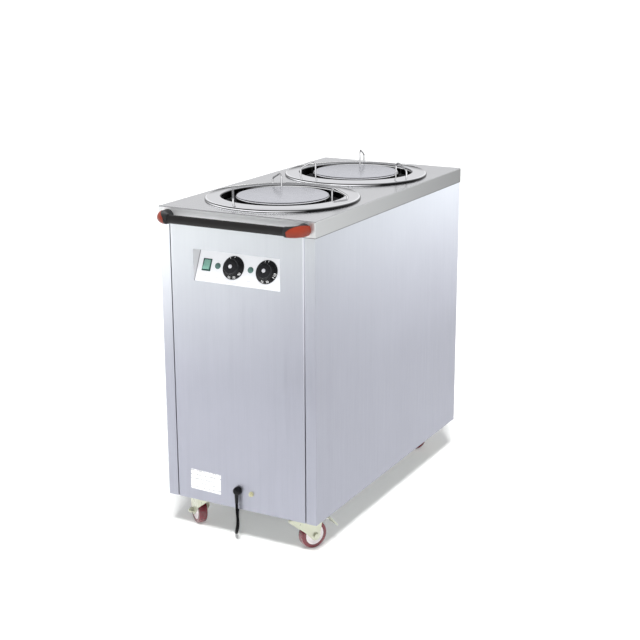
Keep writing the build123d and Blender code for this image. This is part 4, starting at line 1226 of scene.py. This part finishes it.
class TROLLEY_OT_lead(bpy.types.Operator):
    """Lay the mains lead with its gland, coil and plug, and dress the earth terminal"""

    bl_idname = "trolley.lead"
    bl_label = "Mains lead"

    def execute(self, context):
        settings = context.scene.trolley_lead
        black = moulded("gland_black", (0.005, 0.005, 0.006), 0.3, 0.08, Specular_IOR_Level=0.2)
        refine_node("cable_gland", black, 0.0003, 40)
        refine_node("cord_plug", black, 0.0006, 40)
        brass_colour, even = (0.62, 0.60, 0.40), (60.0, 60.0, 60.0)
        brass = brushed_metal("terminal_brass", brass_colour, even, 0.4, metallic=0.5)
        refine_node("earth_terminal", brass, 0.0003)
        self.lay_lead(settings)
        return {"FINISHED"}

    def lay_lead(self, settings):
        """Route from the gland to the floor and back under the cabinet, then a spiral in and
        out: at turn t the radius shrinks by the pitch and grows again on the second layer."""
        colour = tuple(settings.lead_colour)
        rubber = moulded("lead_rubber", colour, 0.55, 0.05, 700.0, Specular_IOR_Level=0.04)
        lay = settings.lead_radius
        start = (-0.0062, PANEL_FACE - 0.0095, 0.1160)
        route = [
            start,
            (start[0], start[1], start[2] - 0.022),
            (-0.0026, FRONT - 0.009, 0.066 + lay),
            (-0.0070, FRONT - 0.003, 0.040 + lay),
            (-0.0230, FRONT + 0.014, 0.014 + lay),
            (-0.0460, FRONT + 0.051, lay),
            (-0.0670, FRONT + 0.091, lay),
            (-0.1050, FRONT + 0.151, lay),
            (-0.1340, FRONT + 0.203, lay),
        ]
        points = np.concatenate([np.array(route), self.coil_points(lay)])
        curve = bpy.data.curves.new("mains_lead", "CURVE")
        curve.dimensions = "3D"
        curve.bevel_depth = lay
        curve.bevel_resolution = 5
        curve.use_fill_caps = True
        curve.resolution_u = 8
        spline = curve.splines.new("NURBS")
        spline.points.add(len(points) - 1)
        weighted = np.concatenate([points, np.ones((len(points), 1))], 1)
        spline.points.foreach_set("co", weighted.ravel())
        spline.order_u = 3
        spline.use_endpoint_u = True
        lead = linked("mains_lead", curve)
        finished(lead, rubber, CABINET, ["cord", "cord_coil"])

    def coil_points(self, lay):
        """Half turns whose radius falls by half the pitch each time, one climbing, then out
        again on top; the points of a half turn are pushed out so that the curve, which cuts
        its corners, keeps the radius."""
        pitch = 2 * lay + 0.0007
        lead_in, count, pull, climbing = 0.0075, 8, 0.9857, 5
        radii = [0.051 - pitch / 2 * i for i in range(climbing + 1)]
        radii += radii[-2::-1]
        start = np.array([-0.134, FRONT + 0.27, lay])
        points, side = [start - (0, lead_in, 0)], 1
        share = (np.arange(count) + 0.5) / count
        for number, radius in enumerate(radii):
            angle = np.pi * share
            rise = pitch * np.clip(number - climbing + share, 0, 1)
            reach = radius / pull
            across = start[0] + side * (radius - reach * np.cos(angle))
            along = start[1] + side * reach * np.sin(angle)
            points.extend(np.stack([across, along, lay + rise], -1))
            start = start + (2 * side * radius, 0, 0)
            side = -side
        points.append(np.array([start[0], start[1] - lead_in, lay + pitch]))
        return np.array(points)


class TROLLEY_OT_stage(bpy.types.Operator):
    """Lay the floor, light the studio and place the camera"""

    bl_idname = "trolley.stage"
    bl_label = "Studio stage"

    def execute(self, context):
        settings = context.scene.trolley_stage
        self.lay_floor(settings)
        self.light(context.scene, settings)
        self.place_camera(context.scene, settings)
        context.scene.view_settings.view_transform = "Standard"
        return {"FINISHED"}

    def lay_floor(self, settings):
        """Wide flat floor under the trolley."""
        corners = [(x, y, 0) for x, y in box_outline(60, 60)]
        mesh = bpy.data.meshes.new("studio_floor")
        mesh.from_pydata(corners, [], [(0, 1, 2, 3)])
        floor = linked("studio_floor", mesh)
        colour = tuple(settings.floor_colour)
        light = glow(tinted(colour, settings.floor_lift))
        dressed(floor, moulded("floor_paper", colour, 0.8, 0.02, 60.0, 0.99, **light))

    def light(self, scene, settings):
        """Soft key from above, and a pale sky with a dark side behind the camera."""
        key = bpy.data.lights.new("key", "SUN")
        key.energy = settings.sun_strength
        key.angle = math.radians(12)
        lamp = linked("key", key)
        lamp.rotation_mode = "QUATERNION"
        lamp.rotation_quaternion = Vector((0.27, -0.50, 1.0)).to_track_quat("Z", "Y")
        lamp.visible_glossy = False
        world = bpy.data.worlds.new("studio_sky")
        scene.world = world
        world.use_nodes = True
        tree = world.node_tree
        tree.nodes.clear()
        outlet = tree.nodes.new("ShaderNodeOutputWorld")
        sky = tree.nodes.new("ShaderNodeBackground")
        sky.inputs["Strength"].default_value = settings.sky_strength
        _, y, z = separated(tree, "Generated")
        places = (0.0, 0.05, 0.13, 0.40, 0.60, 0.95)
        shades = (0.06, 0.3, 1.1, 1.25, 0.45, 0.45)
        stops = [(place, (s, s, s * 1.02)) for place, s in zip(places, shades)]
        low_front = ranged(tree, y, -0.65, -0.2, 0.12, 1.0)
        front = combined(tree, low_front, ranged(tree, z, 0.14, 0.3), "MAXIMUM")
        tone = blended(tree, 1.0, ramped(tree, z, stops), front, "MULTIPLY")
        feed(tree, tone, sky.inputs["Color"])
        feed(tree, sky.outputs[0], outlet.inputs["Surface"])

    def place_camera(self, scene, settings):
        """Camera at the measured place: right, up and back axes from its azimuth, elevation
        and roll."""
        azimuth, elevation, roll = (math.radians(angle) for angle in CAMERA_ANGLES)
        level = math.cos(elevation)
        back = Vector((math.sin(azimuth) * level, -math.cos(azimuth) * level, math.sin(elevation)))
        right = Vector((math.cos(azimuth), math.sin(azimuth), 0))
        up = back.cross(right)
        rolled_right = right * math.cos(roll) + up * math.sin(roll)
        rolled_up = up * math.cos(roll) - right * math.sin(roll)
        data = bpy.data.cameras.new("studio_camera")
        data.lens = settings.lens
        data.sensor_width = 36
        data.clip_end = 200
        camera = linked("studio_camera", data)
        turn = Matrix((rolled_right, rolled_up, back)).transposed().to_4x4()
        camera.matrix_world = shift(*CAMERA_PLACE) @ turn
        scene.camera = camera


OPERATORS = (
    TROLLEY_OT_cabinet,
    TROLLEY_OT_wells,
    TROLLEY_OT_guides,
    TROLLEY_OT_controls,
    TROLLEY_OT_handle,
    TROLLEY_OT_casters,
    TROLLEY_OT_lead,
    TROLLEY_OT_stage,
)


class TROLLEY_PT_panel(bpy.types.Panel):
    """Sidebar panel with the trolley's operators and settings"""

    bl_label = "Plate dispenser trolley"
    bl_idname = "TROLLEY_PT_panel"
    bl_space_type = "VIEW_3D"
    bl_region_type = "UI"
    bl_category = "Trolley"

    def draw(self, context):
        for operator in OPERATORS:
            self.layout.operator(operator.bl_idname)
        for name, settings in SETTINGS.items():
            box = self.layout.box()
            for field in settings.__annotations__:
                box.prop(getattr(context.scene, name), field)


CLASSES = (*SETTINGS.values(), *OPERATORS, TROLLEY_PT_panel)


def register():
    for cls in CLASSES:
        bpy.utils.register_class(cls)
    for name, settings in SETTINGS.items():
        setattr(bpy.types.Scene, name, PointerProperty(type=settings))


def unregister():
    for name in SETTINGS:
        delattr(bpy.types.Scene, name)
    for cls in reversed(CLASSES):
        bpy.utils.unregister_class(cls)


def main():
    register()
    bpy.ops.trolley.cabinet()
    bpy.ops.trolley.wells()
    bpy.ops.trolley.guides()
    bpy.ops.trolley.controls()
    bpy.ops.trolley.handle()
    bpy.ops.trolley.casters()
    bpy.ops.trolley.lead()
    bpy.ops.trolley.stage()


if __name__ == "__main__":
    main()
